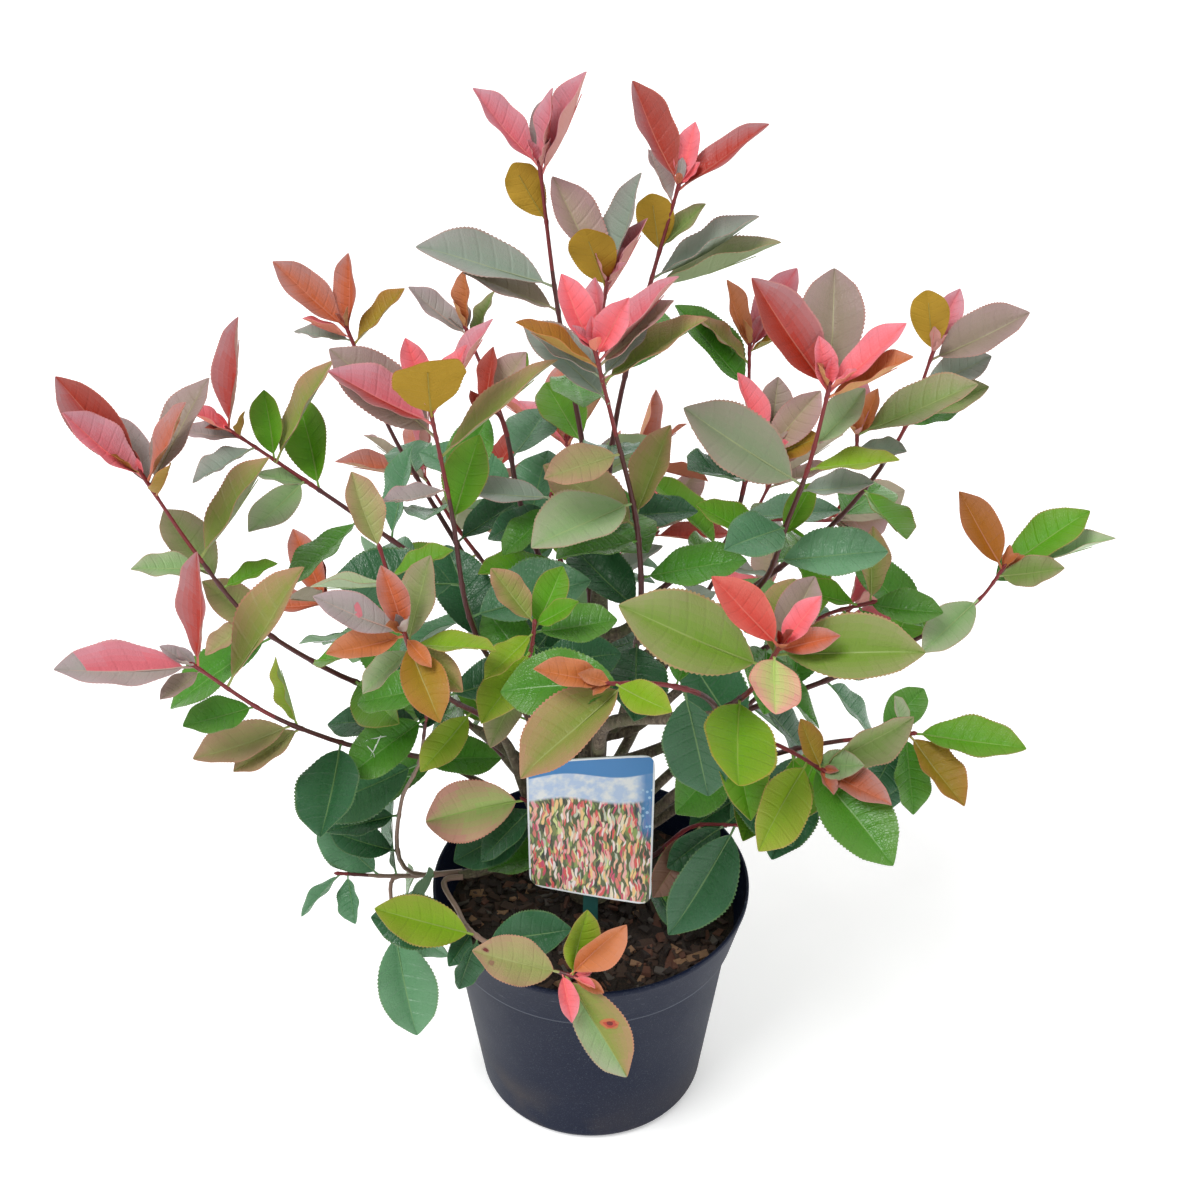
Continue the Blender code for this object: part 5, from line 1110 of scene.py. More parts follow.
def budLeaves(plant):
    extra = []
    for number, name in enumerate(masses):
        dice = Random(growth["seed"] + 500 + number)
        for (curve, _), shoot in zip(plant["curves"][name], masses[name][2]):
            young = [entry[4] for entry in shoot["leaves"] if tints[entry[4]]["age"] == "young"]
            if shoot["leaves"] and not young or "tints" in shoot:
                continue
            for k in range(leafLook["budLeaves"]):
                tint = dice.choice(young or youngTints)
                lift = radians(dice.uniform(*leafLook["budLift"]))
                length = dice.uniform(*leafLook["budLength"])
                turn = growth["goldenTurn"] * k + number
                extra.append(placeDealt(leafLook["budStep"] * k, turn, lift, length, tint, curve, dice))
    return extra


def leafMaterials(tint):
    look, age = tints[tint], ageOf(tint)
    margin = mix3(look["outer"], *age["margin"])
    rib = mix3(look["core"], *age["rib"])
    materials = []
    last = leafLook["shades"] - 1
    steps = [("Shade%d" % step, mix3(look["core"], look["outer"], step / last)) for step in range(last + 1)]
    for role, colour in steps + [("Margin", margin), ("Rib", rib), ("Under", look["under"])]:
        under = role == "Under"
        rough = age["roughness"] + (leafLook["underRough"] if under else 0.0)
        gloss = age["gloss"] * (leafLook["underGloss"] if under else 1.0)
        depth = leafLook["veinDepth"] * {"Rib": 0.0, "Under": 0.6}.get(role, 1.0)
        material, tree, shader = newMaterial("leaf" + tint.capitalize() + role, colour, rough,
                                             Specular_IOR_Level=gloss)
        useGroup(tree, shader, leafSurface, {"Roughness": rough, "Vein Depth": depth,
                                             "Veins": leafLook["rows"] / 2})
        materials.append(material)
    return materials


def leafRoles(shift, side, reach):  # material of each face, with one half up to a share in the second tint, mostly a painted sheen and shade across the fold
    last = leafLook["shades"] - 1
    roles = [min(last, max(0, role + shift)) if role <= last else role for role, _, _ in templateRoles]
    return [role + last + 4 if across * side > 0 and share < reach else role
            for role, (_, across, share) in zip(roles, templateRoles)]


def buildLeaves(plant):
    sprays = {tint: [] for tint in tints}
    for name, leaves in plant["leaves"].items():
        for index, leaf in enumerate(leaves):
            leaf["tint"] = shades.get((name, index), leaf["tint"])
            sprays[leaf["tint"]].append(((name, index), leaf))
    for leaf in budLeaves(plant):
        sprays[leaf["tint"]].append((None, leaf))
    total, marked = 0, []
    for number, (tint, spray) in enumerate(sprays.items()):
        if not spray:
            continue
        dice = Random(growth["seed"] + 900 + number)
        parts, uvs, others = [], [], None
        for place, leaf in spray:
            state = dice.getstate()
            points, form = bladePoints(leaf, dice)
            for mark in leafMarks:
                if mark[:2] == place:
                    marked += markShells(leaf, state, mark)
            # a second tint on one half of some leaves, mostly a painted sheen and shade across the fold
            other, side, reach = halves.get(place, (None, 0, 0))
            parts.append((points, templateFaces, leafRoles(dice.choice((-1, 0, 0, 1)), side, reach)))
            others = others or other
            uvs.append(template[:, :2] * (0.5, 1) + (0.5, 0))
            shell, faces = petioleShell(leaf, form)
            parts.append((np.array([p[:] for p in shell]), faces, [leafLook["shades"] + 1] * len(faces)))
            uvs.append(np.full((len(shell), 2), (0.5, 0.0)))
        mesh = joinedMesh("leaves" + tint.capitalize(), parts, 55, np.concatenate(uvs))
        nodes = sorted({place[0] for place, _ in spray if place}) or ["foliage_centre"]
        materials = leafMaterials(tint) + (leafMaterials(others) if others else [])
        addPiece("leaves" + tint.capitalize(), mesh, materials, nodes)
        total += len(spray)
    buildMarks(marked)
    print("leaves", total, "marks", len(marked))


# Stems, from the limbs' tips to the buds
stemLook = {
    "sides": 8, "radii": (0.0027, 0.0013), "sunk": 0.004, "step": 0.0035, "swelling": 0.30,
    "swellReach": 0.0022, "nearby": 0.008, "bud": 0.006,
    "budForm": ((0.15, 1.25), (0.45, 1.45), (0.8, 0.9), (1.0, 0.25)),  # share of the bud, share of the radius
    "zones": (0.09, 0.26),  # how far back from the tip the crimson and the maroon reach
    "woody": ("foliage_low_left_dark", "foliage_rim_front"), "woodyZones": (0.012, 0.030),
    "colours": {"Crimson": (0.20, 0.018, 0.024), "Maroon": (0.085, 0.016, 0.018),
                "Brown": (0.085, 0.040, 0.026), "Wood": (0.24, 0.15, 0.115)},
}


def densified(curve, step):
    points = []
    for a, b in zip(curve, curve[1:]):
        count = max(1, ceil((b - a).length / step))
        points += [a.lerp(b, k / count) for k in range(count)]
    return points + [curve[-1]]


def buildStems(plant):
    parts = []
    for name, curves in plant["curves"].items():
        for k, (curve, heading) in enumerate(curves):
            starts = [leaf["base"] for leaf in plant["leaves"][name]]
            points = densified([curve[0] - heading * stemLook["sunk"]] + list(curve), stemLook["step"])
            first, last = stemLook["radii"]
            ends = (first * (1 if k == 0 else growth["forkShare"]), last)
            radii = taper(points, *ends)
            for j, point in enumerate(points):
                swell = sum(exp(-((point - s).length / stemLook["swellReach"]) ** 2) for s in starts
                            if (point - s).length < stemLook["nearby"])
                radii[j] *= 1 + stemLook["swelling"] * min(1.0, swell)
            tip = (points[-1] - points[-2]).normalized()
            for ahead, radius in stemLook["budForm"]:
                points.append(curve[-1] + tip * stemLook["bud"] * ahead)
                radii.append(last * radius)
            shell, faces = tubeShell(points, headingsOf(points), radii, stemLook["sides"])
            back = taper(points, reachOf(points), 0.0)
            woody = name in stemLook["woody"]
            zones, rest = (stemLook["woodyZones"], 3) if woody else (stemLook["zones"], 2)
            kinds = []
            for j in range(len(points) - 1):
                kind = next((z for z, reach in enumerate(zones) if back[j] < reach), rest)
                kinds += [kind] * stemLook["sides"]
            parts.append((np.array([p[:] for p in shell]), faces, kinds + [kinds[0], 0]))
    mesh = joinedMesh("stems", parts)
    materials = [grainMaterial("stem" + label, colour, 0.45, 260.0, 0.4)
                 for label, colour in stemLook["colours"].items()]
    addPiece("stems", mesh, materials, list(masses))
    print("stems", len(parts))


# Trunk and boughs in bark
barkLook = {
    "trunkSides": 40, "boughSides": 18, "step": 0.0025, "ridge": 0.06, "collar": 0.45, "collarReach": 0.010,
    "sunk": 0.006, "root": 0.10, "rootReach": 0.016, "endReach": 0.015, "light": (0.20, 0.155, 0.105),
    "dark": (0.045, 0.026, 0.018), "green": (0.10, 0.105, 0.045), "lenticel": (0.32, 0.25, 0.18),
    "overStem": 1.05,
    # share of the relief, and how fine it is around the limb and along it
    "ridges": ((1.0, 2.2, 0.10), (0.6, 5, 0.22)), "rings": (0.35, 0.8, 0.9),
}


def barkRings(points, radii, sides, ridge, seed):
    shell, faces = tubeShell(points, headingsOf(points), radii, sides)
    shell = [Vector(p) for p in shell]
    for j, centre in enumerate(points):
        for s in range(sides):
            spot = shell[j * sides + s]
            angle = 2 * pi * s / sides
            across, beside = cos(angle), sin(angle)
            rough = sum(share * noise.noise(Vector((across * fine + seed, beside * fine, j * along)))
                        for share, fine, along in barkLook["ridges"])
            share, fine, along = barkLook["rings"]
            rough += share * noise.noise(Vector((across * fine, seed, j * along)))
            shell[j * sides + s] = centre + (spot - centre) * (1 + ridge * rough)
    return np.array([p[:] for p in shell]), faces, [0] * len(faces)


def limbRadii(points, ends):  # a collar at the foot, and the stem's own radius at the tip
    first, last = ends
    reach = reachOf(points)
    end = stemLook["radii"][0] * barkLook["overStem"]
    radii, gone = [], 0.0
    for j, point in enumerate(points):
        gone += (point - points[j - 1]).length if j else 0
        collar = 1 + barkLook["collar"] * exp(-(gone / barkLook["collarReach"]) ** 2)
        plain = first + (last - first) * (gone / reach)
        close = max(0.0, 1 - (reach - gone) / barkLook["endReach"])
        radii.append((plain + (end - plain) * close ** 2) * collar)
    return radii


def barkMaterial():
    material, tree, shader = newMaterial("bark", barkLook["light"], 0.8)
    where = node(tree, "TexCoord").outputs["Object"]
    fibre = noiseOf(tree, mapped(tree, where, Scale=(1, 1, 0.28)), 420.0, 5.0, 0.65)
    patch = noiseOf(tree, where, 55.0, 3.0)
    spots = node(tree, "TexVoronoi", {"Vector": mapped(tree, where, Scale=(1, 1, 2.6)), "Scale": 170.0})
    lenticel = ramp(tree, spots.outputs["Distance"], (0.0, 1.0), (0.16, 1.0), (0.24, 0.0))
    colour = mixed(tree, fade(tree, fibre, 0.35, 0.68), barkLook["dark"], barkLook["light"])
    colour = mixed(tree, ramp(tree, patch, (0.48, 0.0), (0.66, 0.65)), colour, barkLook["green"])
    colour = mixed(tree, maths(tree, "MULTIPLY", lenticel, 0.55), colour, barkLook["lenticel"])
    tree.links.new(colour, shader.inputs["Base Color"])
    height = maths(tree, "MULTIPLY_ADD", lenticel, 0.5, fibre)
    relief(tree, shader.inputs, height, 0.7, 0.0009, (fibre, 0.25, 0.62))
    return material


def buildWood(plant):
    centres, widths = plant["trunk"]
    curve = densified(centres, barkLook["step"])
    height = [c.z for c in centres]
    radii = [float(np.interp(p.z, height, widths)) for p in curve]
    starts = [limb["curve"][0] for limb in plant["limbs"].values()]
    for j, point in enumerate(curve):
        near = sum(exp(-((point - s).length / barkLook["rootReach"]) ** 2) for s in starts)
        radii[j] *= 1 + barkLook["root"] * min(1.0, near)
    parts = [barkRings(curve, radii, barkLook["trunkSides"], barkLook["ridge"], 0.0)]
    for number, limb in enumerate(plant["limbs"].values()):
        curve = limb["curve"]
        heading = (curve[1] - curve[0]).normalized()
        points = densified([curve[0] - heading * barkLook["sunk"]] + curve, barkLook["step"])
        radii, seed = limbRadii(points, limb["radii"]), 3.7 * number + 1
        parts.append(barkRings(points, radii, barkLook["boughSides"], barkLook["ridge"] * 0.8, seed))
    mesh = joinedMesh("wood", parts, 80)
    addPiece("wood", mesh, [barkMaterial()], ["trunk"] + list(boughs))
    print("wood", len(parts))


# Pot
potLook = {
    "height": 0.225, "rim": 0.140, "band": 0.048, "bandFoot": 0.1290, "bodyTop": 0.1245, "base": 0.1030,
    "rounding": 0.010, "wall": 0.0028, "floor": 0.005, "segments": 160, "notches": 8,
    "notch": (0.0040, 0.018, 0.0070), "colour": (0.003, 0.007, 0.026), "speck": (0.034, 0.042, 0.062),
    "pit": (0.012, 0.015, 0.022), "dust": (0.11, 0.085, 0.060), "scuff": (0.15, 0.17, 0.21),
    "dustLow": 0.075, "paintedHighlightLine": 0.1782,  # heights up to which dust lies, and of the painted highlight along the band's lower edge
}


def arc(centre, radius, start, end, steps):
    turns = [radians(start + (end - start) * k / steps) for k in range(steps + 1)]
    return [(centre[0] + radius * cos(a), centre[1] + radius * sin(a)) for a in turns]


def rounded(shape, edges, offset, segments):
    bmesh.ops.bevel(shape, geom=list(edges), offset=offset, affect="EDGES", segments=segments,
                    profile=0.5, material=-1)


def turned(profile, segments):
    shape = bmesh.new()
    points = [shape.verts.new((radius, 0.0, height)) for radius, height in profile]
    edges = [shape.edges.new(pair) for pair in zip(points, points[1:])]
    bmesh.ops.spin(shape, geom=points + edges, cent=(0, 0, 0), axis=(0, 0, 1), angle=2 * pi,
                   steps=segments, use_merge=True)
    bmesh.ops.remove_doubles(shape, verts=shape.verts, dist=1e-6)
    return shape


def potMaterial():
    material, tree, shader = newMaterial("slatePlastic", potLook["colour"], 0.5, Specular_IOR_Level=0.12)
    where = node(tree, "TexCoord").outputs["Object"]
    split = node(tree, "SeparateXYZ", {"Vector": where})
    fine = noiseOf(tree, where, 850.0, 2.0)
    cloud = noiseOf(tree, where, 14.0, 5.0)
    colour = mixed(tree, ramp(tree, fine, (0.58, 0.0), (0.70, 0.85)), potLook["colour"], potLook["speck"])
    colour = mixed(tree, ramp(tree, fine, (0.28, 0.5), (0.40, 0.0)), colour, potLook["pit"])
    low = ranged(tree, split.outputs["Z"], (0.0, potLook["dustLow"]), (1.0, 0.0))
    left = ranged(tree, split.outputs["X"], (0.02, -0.09), (0.25, 1.0))
    patch = fade(tree, cloud, 0.44, 0.62)
    dust = maths(tree, "MULTIPLY", maths(tree, "MULTIPLY", low, left), patch)
    colour = mixed(tree, maths(tree, "MULTIPLY", dust, 0.75), colour, potLook["dust"])
    rub = noiseOf(tree, mapped(tree, where, Rotation=(0, 0.4, 0), Scale=(1, 1, 7)), 60.0, 6.0, 0.7)
    band = ranged(tree, split.outputs["Z"], (0.176, 0.186), (0.0, 1.0))
    scuff = maths(tree, "MULTIPLY", fade(tree, rub, 0.61, 0.72), maths(tree, "MULTIPLY_ADD", band, 0.8, 0.2))
    colour = mixed(tree, maths(tree, "MULTIPLY", scuff, 0.6), colour, potLook["scuff"])
    # a pale line in the scuff colour along the band's lower edge: a painted highlight on the step
    off = maths(tree, "ABSOLUTE", maths(tree, "SUBTRACT", split.outputs["Z"], potLook["paintedHighlightLine"]))
    paintedHighlightLine = ranged(tree, off, (0.0003, 0.0016), (0.7, 0.0))
    colour = mixed(tree, maths(tree, "MULTIPLY", paintedHighlightLine, cloud), colour, potLook["scuff"])
    tree.links.new(colour, shader.inputs["Base Color"])
    relief(tree, shader.inputs, fine, 0.25, 0.0004, (cloud, 0.2, 0.42))
    return material


def potInside(gap):  # the inner wall from the band's foot down, drawn in by a gap
    look = potLook
    wall, bandFoot = look["wall"], look["height"] - look["band"]
    return [(look["bandFoot"] - wall - 2 * gap, bandFoot - 0.001),
            (look["bodyTop"] - wall - 2 * gap, bandFoot - 0.004),
            (look["base"] - wall - 0.004 - 2 * gap, look["floor"] + gap),
            (0.0, look["floor"] + gap)]


def buildPot():
    look = potLook
    bandFoot = look["height"] - look["band"]
    lip = look["wall"] / 2
    outer = [(0.0, 0.0), (look["base"] - look["rounding"] * 1.6, 0.0)]
    outer += arc((look["base"] - look["rounding"], look["rounding"]), look["rounding"], -84, 0, 7)
    outer += [(look["bodyTop"] - 0.0003, bandFoot - 0.0026), (look["bodyTop"], bandFoot - 0.0020),
              (look["bandFoot"] - 0.0010, bandFoot - 0.0004), (look["bandFoot"] - 0.0002, bandFoot + 0.0004),
              (look["bandFoot"] + 0.0002, bandFoot + 0.0018), (look["rim"] - 0.0006, look["height"] - 0.0056),
              (look["rim"], look["height"] - 0.0044)]
    top = arc((look["rim"] - lip, look["height"] - lip), lip, 0, 180, 10)
    shape = turned(outer + top + potInside(0.0), look["segments"])
    notches = bmesh.new()
    for k in range(look["notches"]):
        place = Matrix.Rotation(2 * pi * (k + 0.5) / look["notches"], 4, "Z")
        place = place @ Matrix.Translation((look["base"] - look["notch"][0] / 2 + 0.0012, 0, 0))
        cube = bmesh.ops.create_cube(notches, size=1.0, matrix=place @ Matrix.Diagonal((*look["notch"], 1.0)))
        edges = {e for v in cube["verts"] for e in v.link_edges}
        rounded(notches, edges, 0.0012, 2)
    pot = placed("potBlank", meshOf(shape, "potBlank", 35))
    cutter = placed("potNotches", meshOf(notches, "potNotches"))
    carve = pot.modifiers.new("notches", "BOOLEAN")
    carve.object = cutter
    bpy.context.view_layer.update()
    mesh = bpy.data.meshes.new_from_object(pot.evaluated_get(bpy.context.evaluated_depsgraph_get()))
    for thing in (pot, cutter):
        bpy.data.objects.remove(thing)
    mesh.materials.clear()
    mesh.shade_smooth()
    mesh.set_sharp_from_angle(angle=radians(35))
    addPiece("pot_shell", mesh, [potMaterial()], ["pot"])
    print("pot", len(mesh.polygons))


# Compost and its bark chips
compostLook = {
    "top": 0.190, "edgeDrop": 0.004, "flat": 0.060, "slope": 0.066, "settled": 0.0012, "rough": 0.0024,
    "lumps": ((1.0, 55, 0.3), (0.6, 160, 2.7)), "rings": 44,
    "crumbs": ((0.009, 0.005, 0.004), (0.060, 0.032, 0.020)), "chips": 900, "reach": 0.124, "edge": 0.00035,
    "length": (0.005, 0.017), "width": (0.003, 0.008), "thickness": (0.0015, 0.0035),
    "colours": {"Dark": (0.020, 0.011, 0.008), "Brown": (0.050, 0.025, 0.016), "Red": (0.105, 0.040, 0.024),
                "Tan": (0.24, 0.13, 0.07), "Grey": (0.085, 0.070, 0.060)},
    "shares": (0.42, 0.30, 0.15, 0.06, 0.07), "lean": (24, 18), "ragged": 0.22, "proud": 0.35,
    "trunkAt": 0.02, "trunkRoom": 0.024,  # the chips keep clear of the trunk
    "paleChip": (0.088, -0.060, 0.030, 0.007, 0.0045, 24),  # place, length, width, thickness, turn
}


def compostHeight(x, y):
    look = compostLook
    drop = look["edgeDrop"] * max(0.0, (sqrt(x * x + y * y) - look["flat"]) / look["slope"])
    rough = sum(share * noise.noise(Vector((x * fine, y * fine, level)))
                for share, fine, level in look["lumps"])
    return look["top"] - drop + look["rough"] * rough - look["settled"]


def buildBed():
    look = compostLook
    bandFoot = potLook["height"] - potLook["band"]
    wall, gap = potLook["wall"], growth["gap"]
    edge = look["top"] - look["edgeDrop"]
    share = (edge - bandFoot + 0.001) / (potLook["band"] - 0.0026)
    rim = potLook["bandFoot"] - wall + share * (potLook["rim"] - potLook["bandFoot"]) - 2 * gap
    steps = look["rings"]
    surface = [(rim * k / steps, edge) for k in range(steps + 1)]
    shape = turned(surface + potInside(gap), potLook["segments"])
    for vert in shape.verts:
        if vert.co.z > edge - 0.0005:
            vert.co.z = compostHeight(vert.co.x, vert.co.y)
    mesh = meshOf(shape, "compost_bed", 75)
    material, tree, shader = newMaterial("compostFill", look["colours"]["Dark"], 0.95)
    where = node(tree, "TexCoord").outputs["Object"]
    crumb = noiseOf(tree, where, 520.0, 6.0, 0.7)
    colour = mixed(tree, fade(tree, crumb, 0.40, 0.75), *look["crumbs"])
    tree.links.new(colour, shader.inputs["Base Color"])
    relief(tree, shader.inputs, crumb, 1.0, 0.0016, (crumb, 0.1, 0.85))
    addPiece("compost_bed", mesh, [material], ["compost"])


def buildChips():
    look = compostLook
    dice = Random(growth["seed"] + 77)
    shape = bmesh.new()
    kinds = list(look["colours"])
    (leanX, leanY), ragged = look["lean"], look["ragged"]
    wanted = [look["paleChip"]]
    while len(wanted) < look["chips"]:
        x, y = dice.uniform(-1, 1) * look["reach"], dice.uniform(-1, 1) * look["reach"]
        length = dice.uniform(*look["length"])
        inPot = x * x + y * y < (look["reach"] - length / 2) ** 2
        if inPot and x * x + (y - look["trunkAt"]) ** 2 > look["trunkRoom"] ** 2:
            wanted.append((x, y, length, dice.uniform(*look["width"]), dice.uniform(*look["thickness"]),
                           dice.uniform(0, 360)))
    for number, (x, y, length, width, thickness, turn) in enumerate(wanted):
        lean = Matrix.Rotation(radians(dice.uniform(-leanX, leanX)), 4, "X")
        lean = lean @ Matrix.Rotation(radians(dice.uniform(-leanY, leanY)), 4, "Y")
        place = Matrix.Translation((x, y, compostHeight(x, y) + thickness * look["proud"]))
        place = place @ Matrix.Rotation(radians(turn), 4, "Z")
        size = Matrix.Diagonal((length, width, thickness, 1))
        cube = bmesh.ops.create_cube(shape, size=1.0, matrix=place @ lean @ size)
        for vert in cube["verts"]:
            vert.co += Vector([dice.uniform(-ragged, ragged) * size for size in (width, width, thickness)])
        kind = 3 if number == 0 else dice.choices(range(len(kinds)), look["shares"])[0]
        for face in {f for v in cube["verts"] for f in v.link_faces}:
            face.material_index = kind
    rounded(shape, shape.edges, look["edge"], 1)
    mesh = meshOf(shape, "compost_chips", 30)
    materials = [grainMaterial("chip" + label, colour, 0.85, 500.0, 0.8, 0.5)
                 for label, colour in look["colours"].items()]
    addPiece("compost_chips", mesh, materials, ["compost"])
    print("compost", len(wanted))


# Label card with its stake
labelLook = {
    "size": (0.105, 0.0014, 0.133), "centre": (0.000, -0.046, 0.3230), "turn": radians(-4),
    "leans": (radians(0), radians(20)), "corner": 0.010, "border": 0.0016,
    "stake": (0.013, 0.003), "stakeTop": 0.355, "stakeEdge": 0.0007, "teal": (0.015, 0.085, 0.075),
    "white": (0.82, 0.84, 0.87), "blue": (0.06, 0.24, 0.56), "haze": (0.50, 0.62, 0.84),
    "green": (0.12, 0.15, 0.07), "bubble": (0.45, 0.68, 0.86),
    # shares of the card between which each part of the print comes in
    "fades": {"haze": (0.69, 0.71), "band": (0.875, 0.882), "side": (0.86, 0.93), "upper": (0.42, 0.52)},
    # petal layers: turn in degrees, cells across and along the card, colours
    "petals": (
        (68, (34, 8), ((0.30, 0.40, 0.12), (0.72, 0.76, 0.35), (0.05, 0.06, 0.05), (0.60, 0.62, 0.50))),
        (-38, (38, 9), ((0.75, 0.22, 0.18), (0.90, 0.52, 0.38), (0.85, 0.36, 0.38), (0.24, 0.28, 0.10),
                         (0.92, 0.80, 0.62))),
        (24, (42, 10), ((0.78, 0.12, 0.12), (0.92, 0.50, 0.46), (0.66, 0.10, 0.18), (0.92, 0.62, 0.28),
                        (0.08, 0.09, 0.06), (0.94, 0.82, 0.80))),
    ),
}


def cardPlace(across, depth, level):
    look = labelLook
    share = across / look["size"][0] + 0.5
    lean = look["leans"][0] + (look["leans"][1] - look["leans"][0]) * share
    local = Vector((across, depth * cos(lean) + level * sin(lean), level * cos(lean) - depth * sin(lean)))
    return Vector(look["centre"]) + Matrix.Rotation(look["turn"], 3, "Z") @ local


def petalLayer(tree, where, turn, size, colours, below):
    # elongated cells, each with one of the colours, laid over what is below
    cells = mapped(tree, where, Rotation=(0, 0, radians(turn)), Scale=(*size, 1))
    cell = node(tree, "TexVoronoi", {"Vector": cells, "Scale": 1.0, "Randomness": 0.9})
    pick = node(tree, "SeparateXYZ", {"Vector": cell.outputs["Color"]}).outputs["X"]
    choice = node(tree, "ValToRGB", {"Fac": pick})
    choice.color_ramp.interpolation = "CONSTANT"
    while len(choice.color_ramp.elements) < len(colours):
        choice.color_ramp.elements.new(0.5)
    for k, (element, colour) in enumerate(zip(choice.color_ramp.elements, colours)):
        element.position = k / len(colours)
        element.color = (*colour, 1)
    inside = ramp(tree, cell.outputs["Distance"], (0.42, 1.0), (0.52, 0.0))
    return mixed(tree, inside, below, choice.outputs["Color"])


def cardMaterial():
    look = labelLook
    material, tree, shader = newMaterial("printedCard", look["white"], 0.3, Specular_IOR_Level=0.45)
    where = node(tree, "TexCoord").outputs["UV"]
    where = mapped(tree, where, Location=(-0.5, -0.5, 0))
    split = node(tree, "SeparateXYZ", {"Vector": where})
    across, level = split.outputs["X"], split.outputs["Y"]
    wave = maths(tree, "MULTIPLY", maths(tree, "SINE", maths(tree, "MULTIPLY", across, 7.0)), 0.022)
    swept = maths(tree, "ADD", maths(tree, "ADD", level, wave), 0.5)
    haze = fade(tree, swept, *look["fades"]["haze"])
    band = fade(tree, swept, *look["fades"]["band"])
    flat = mapped(tree, where, Scale=(1, 1.27, 1))
    warp = noiseOf(tree, flat, 6.0, 2.0, output="Color")
    warp = node(tree, "VectorMath", {0: warp, "Scale": 0.10}, operation="SCALE").outputs[0]
    bent = node(tree, "VectorMath", {0: flat, 1: warp}, operation="ADD").outputs[0]
    picture = look["green"]
    for turn, size, colours in look["petals"]:
        picture = petalLayer(tree, bent, turn, size, colours, picture)
    cloud = noiseOf(tree, flat, 11.0, 4.0)
    sky = mixed(tree, fade(tree, cloud, 0.42, 0.62), look["haze"], look["white"])
    colour = mixed(tree, haze, picture, sky)
    side = fade(tree, maths(tree, "ADD", across, 0.5), *look["fades"]["side"])
    upper = fade(tree, maths(tree, "ADD", level, 0.5), *look["fades"]["upper"])
    side = maths(tree, "MULTIPLY", side, upper)
    colour = mixed(tree, maths(tree, "MULTIPLY", side, 0.9), colour, look["blue"])
    dots = node(tree, "TexVoronoi", {"Vector": flat, "Scale": 22.0}).outputs["Distance"]
    dot = maths(tree, "MULTIPLY", ramp(tree, dots, (0.26, 1.0), (0.30, 0.0)), side)
    colour = mixed(tree, maths(tree, "MULTIPLY", dot, 0.75), colour, look["bubble"])
    colour = mixed(tree, band, colour, look["blue"])
    width, _, height = look["size"]
    outX = maths(tree, "GREATER_THAN", maths(tree, "ABSOLUTE", across), 0.5 - look["border"] / width)
    outY = maths(tree, "GREATER_THAN", maths(tree, "ABSOLUTE", level), 0.5 - look["border"] / height)
    colour = mixed(tree, maths(tree, "MAXIMUM", outX, outY), colour, look["white"])
    tree.links.new(colour, shader.inputs["Base Color"])
    smudge = noiseOf(tree, flat, 30.0, 3.0)
    tree.links.new(maths(tree, "MULTIPLY_ADD", smudge, 0.2, 0.22), shader.inputs["Roughness"])
    return material


def buildCard():
    look = labelLook
    width, thickness, height = look["size"]
    shape = bmesh.new()
    bmesh.ops.create_grid(shape, x_segments=20, y_segments=24, size=0.5)
    for vert in shape.verts:
        vert.co = Vector((vert.co.x * width, vert.co.y * height, 0))
        over = [max(0.0, abs(value) - (size / 2 - look["corner"])) for value, size in
                ((vert.co.x, width), (vert.co.y, height))]
        if min(over) > 0:
            shrink = 1 - max(over) / Vector(over).length
            vert.co.x -= over[0] * shrink * (1 if vert.co.x > 0 else -1)
            vert.co.y -= over[1] * shrink * (1 if vert.co.y > 0 else -1)
    front = list(shape.faces)
    sheet = bmesh.ops.extrude_face_region(shape, geom=front, use_keep_orig=True)
    behind = {v for v in sheet["geom"] if isinstance(v, bmesh.types.BMVert)}
    layer = shape.loops.layers.uv.new("card")
    for face in shape.faces:
        back = any(v in behind for v in face.verts)
        face.material_index = 1 if back else 0
        for loop in face.loops:
            loop[layer].uv = (loop.vert.co.x / width + 0.5, loop.vert.co.y / height + 0.5)
    for vert in shape.verts:
        vert.co = cardPlace(vert.co.x, thickness / 2 if vert in behind else -thickness / 2, vert.co.y)
    mesh = meshOf(shape, "label_front", 40)
    plain = grainMaterial("cardBack", look["white"], 0.4, 200.0, 0.05)
    addPiece("label_front", mesh, [cardMaterial(), plain], ["label_card"])


def buildStake():
    look = labelLook
    _, thickness, height = look["size"]
    depth = thickness / 2 + growth["gap"] + look["stake"][1]
    top = cardPlace(0.0, depth, look["stakeTop"] - look["centre"][2])
    foot = cardPlace(0.0, depth, -height / 2)
    foot.z = compostLook["top"] - 0.004
    shape = bmesh.new()
    bmesh.ops.create_cube(shape, size=1.0)
    for vert in shape.verts:
        end = top if vert.co.z > 0 else foot
        spread = Vector((vert.co.x * look["stake"][0], vert.co.y * look["stake"][1], 0))
        vert.co = end + Matrix.Rotation(look["turn"], 3, "Z") @ spread
    rounded(shape, shape.edges, look["stakeEdge"], 3)
    material = grainMaterial("tealPlastic", look["teal"], 0.42, 350.0, 0.15)
    addPiece("label_strip", meshOf(shape, "label_strip", 40), [material], ["label_stake"])
    print("label")


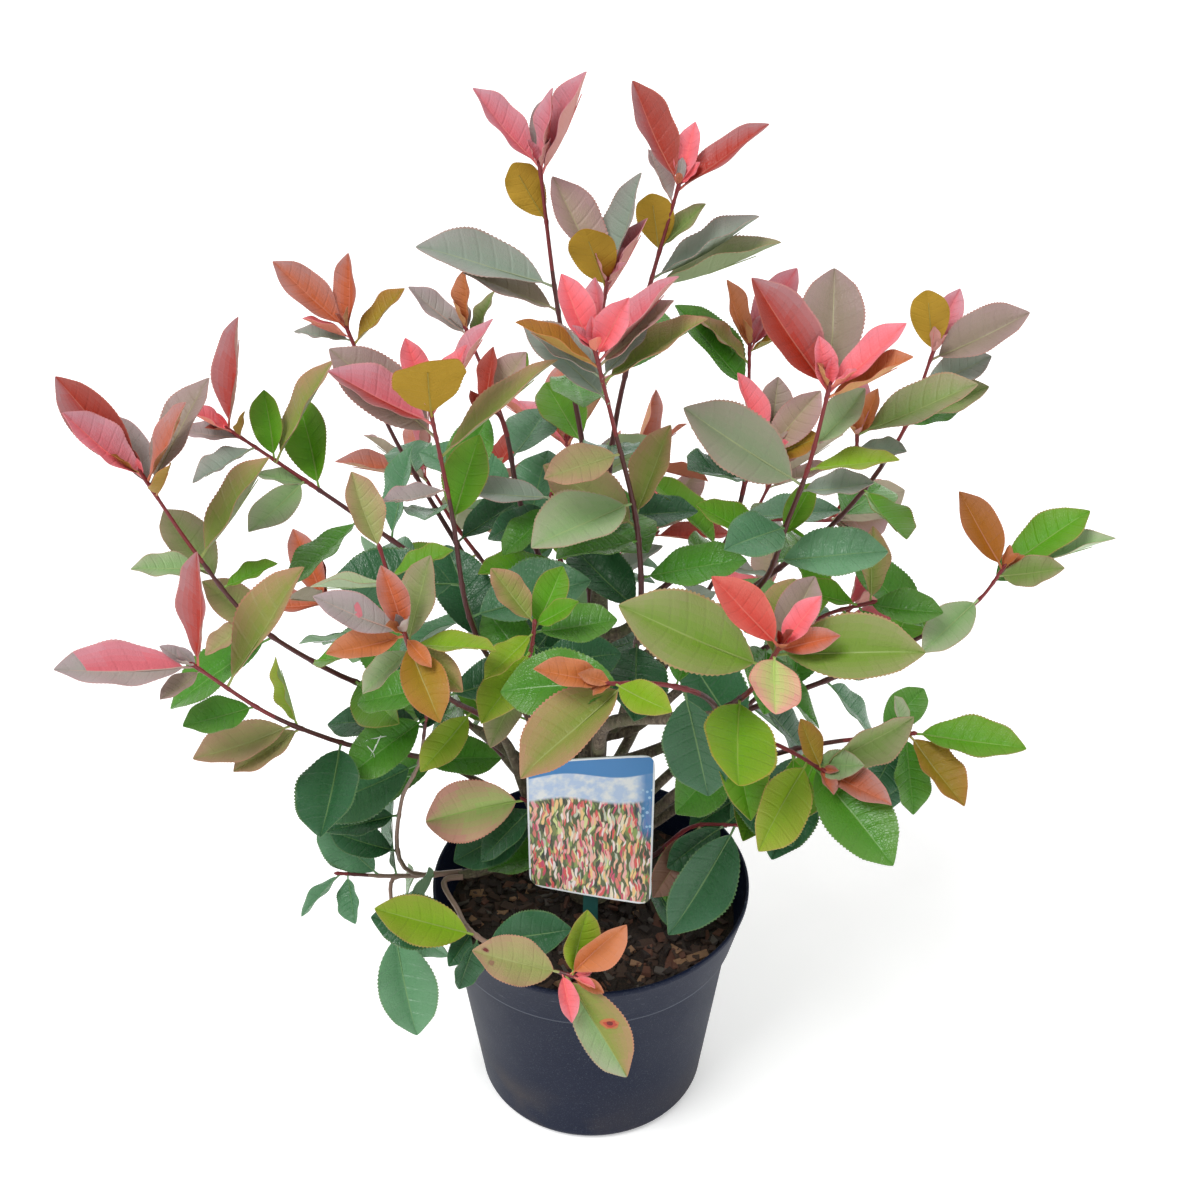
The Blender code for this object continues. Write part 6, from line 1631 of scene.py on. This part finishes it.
# Floor, lights and camera
stageLook = {
    "floor": (0.90, 0.90, 0.90), "floorReach": 60.0, "glow": 0.35, "world": (1.0, 1.0, 1.0),
    "worldStrength": 0.46, "aim": (0, 0, 0.45),
    "camera": (0.008, -1.20, 1.32), "pitch": 90 - 33.65, "lens": 54.3,
    "lights": (("keyLight", (-0.9, -0.8, 2.4), 28, 2.20), ("fillLight", (1.9, -1.5, 1.3), 60, 0.55),
               ("sheenLight", (0.3, 2.2, 1.9), 70, 0.90)),
}


def buildStage():
    look = stageLook
    shape = bmesh.new()
    bmesh.ops.create_grid(shape, x_segments=1, y_segments=1, size=look["floorReach"])
    floor = placed("floor", meshOf(shape, "floor"))
    material = grainMaterial("paleFloor", look["floor"], 0.9, 60.0, 0.02)
    shader = material.node_tree.nodes["Principled BSDF"]
    shader.inputs["Emission Color"].default_value = (1, 1, 1, 1)
    shader.inputs["Emission Strength"].default_value = look["glow"]
    floor.data.materials.append(material)
    world = bpy.data.worlds.new("studio")
    world.use_nodes = True
    world.node_tree.nodes["Background"].inputs["Color"].default_value = (*look["world"], 1)
    world.node_tree.nodes["Background"].inputs["Strength"].default_value = look["worldStrength"]
    bpy.context.scene.world = world
    for name, place, spread, power in look["lights"]:  # wide, distant lights, so the floor is evenly lit
        light = bpy.data.lights.new(name, "SUN")
        light.angle = radians(spread)
        light.energy = power
        lamp = placed(name, light)
        lamp.location = place
        lamp.rotation_euler = (Vector(look["aim"]) - Vector(place)).to_track_quat("-Z", "Y").to_euler()
    camera = placed("camera", bpy.data.cameras.new("camera"))
    camera.data.sensor_width = 36
    camera.data.lens = look["lens"]
    camera.location = look["camera"]
    camera.rotation_euler = (radians(look["pitch"]), 0, 0)
    bpy.context.scene.camera = camera
    bpy.context.scene.view_settings.view_transform = "Standard"
    print("stage")


buildStage()
buildPot()
buildBed()
buildChips()
buildCard()
buildStake()
plant = growPlant()
print("grown", sum(len(leaves) for leaves in plant["leaves"].values()))
buildWood(plant)
buildStems(plant)
buildLeaves(plant)
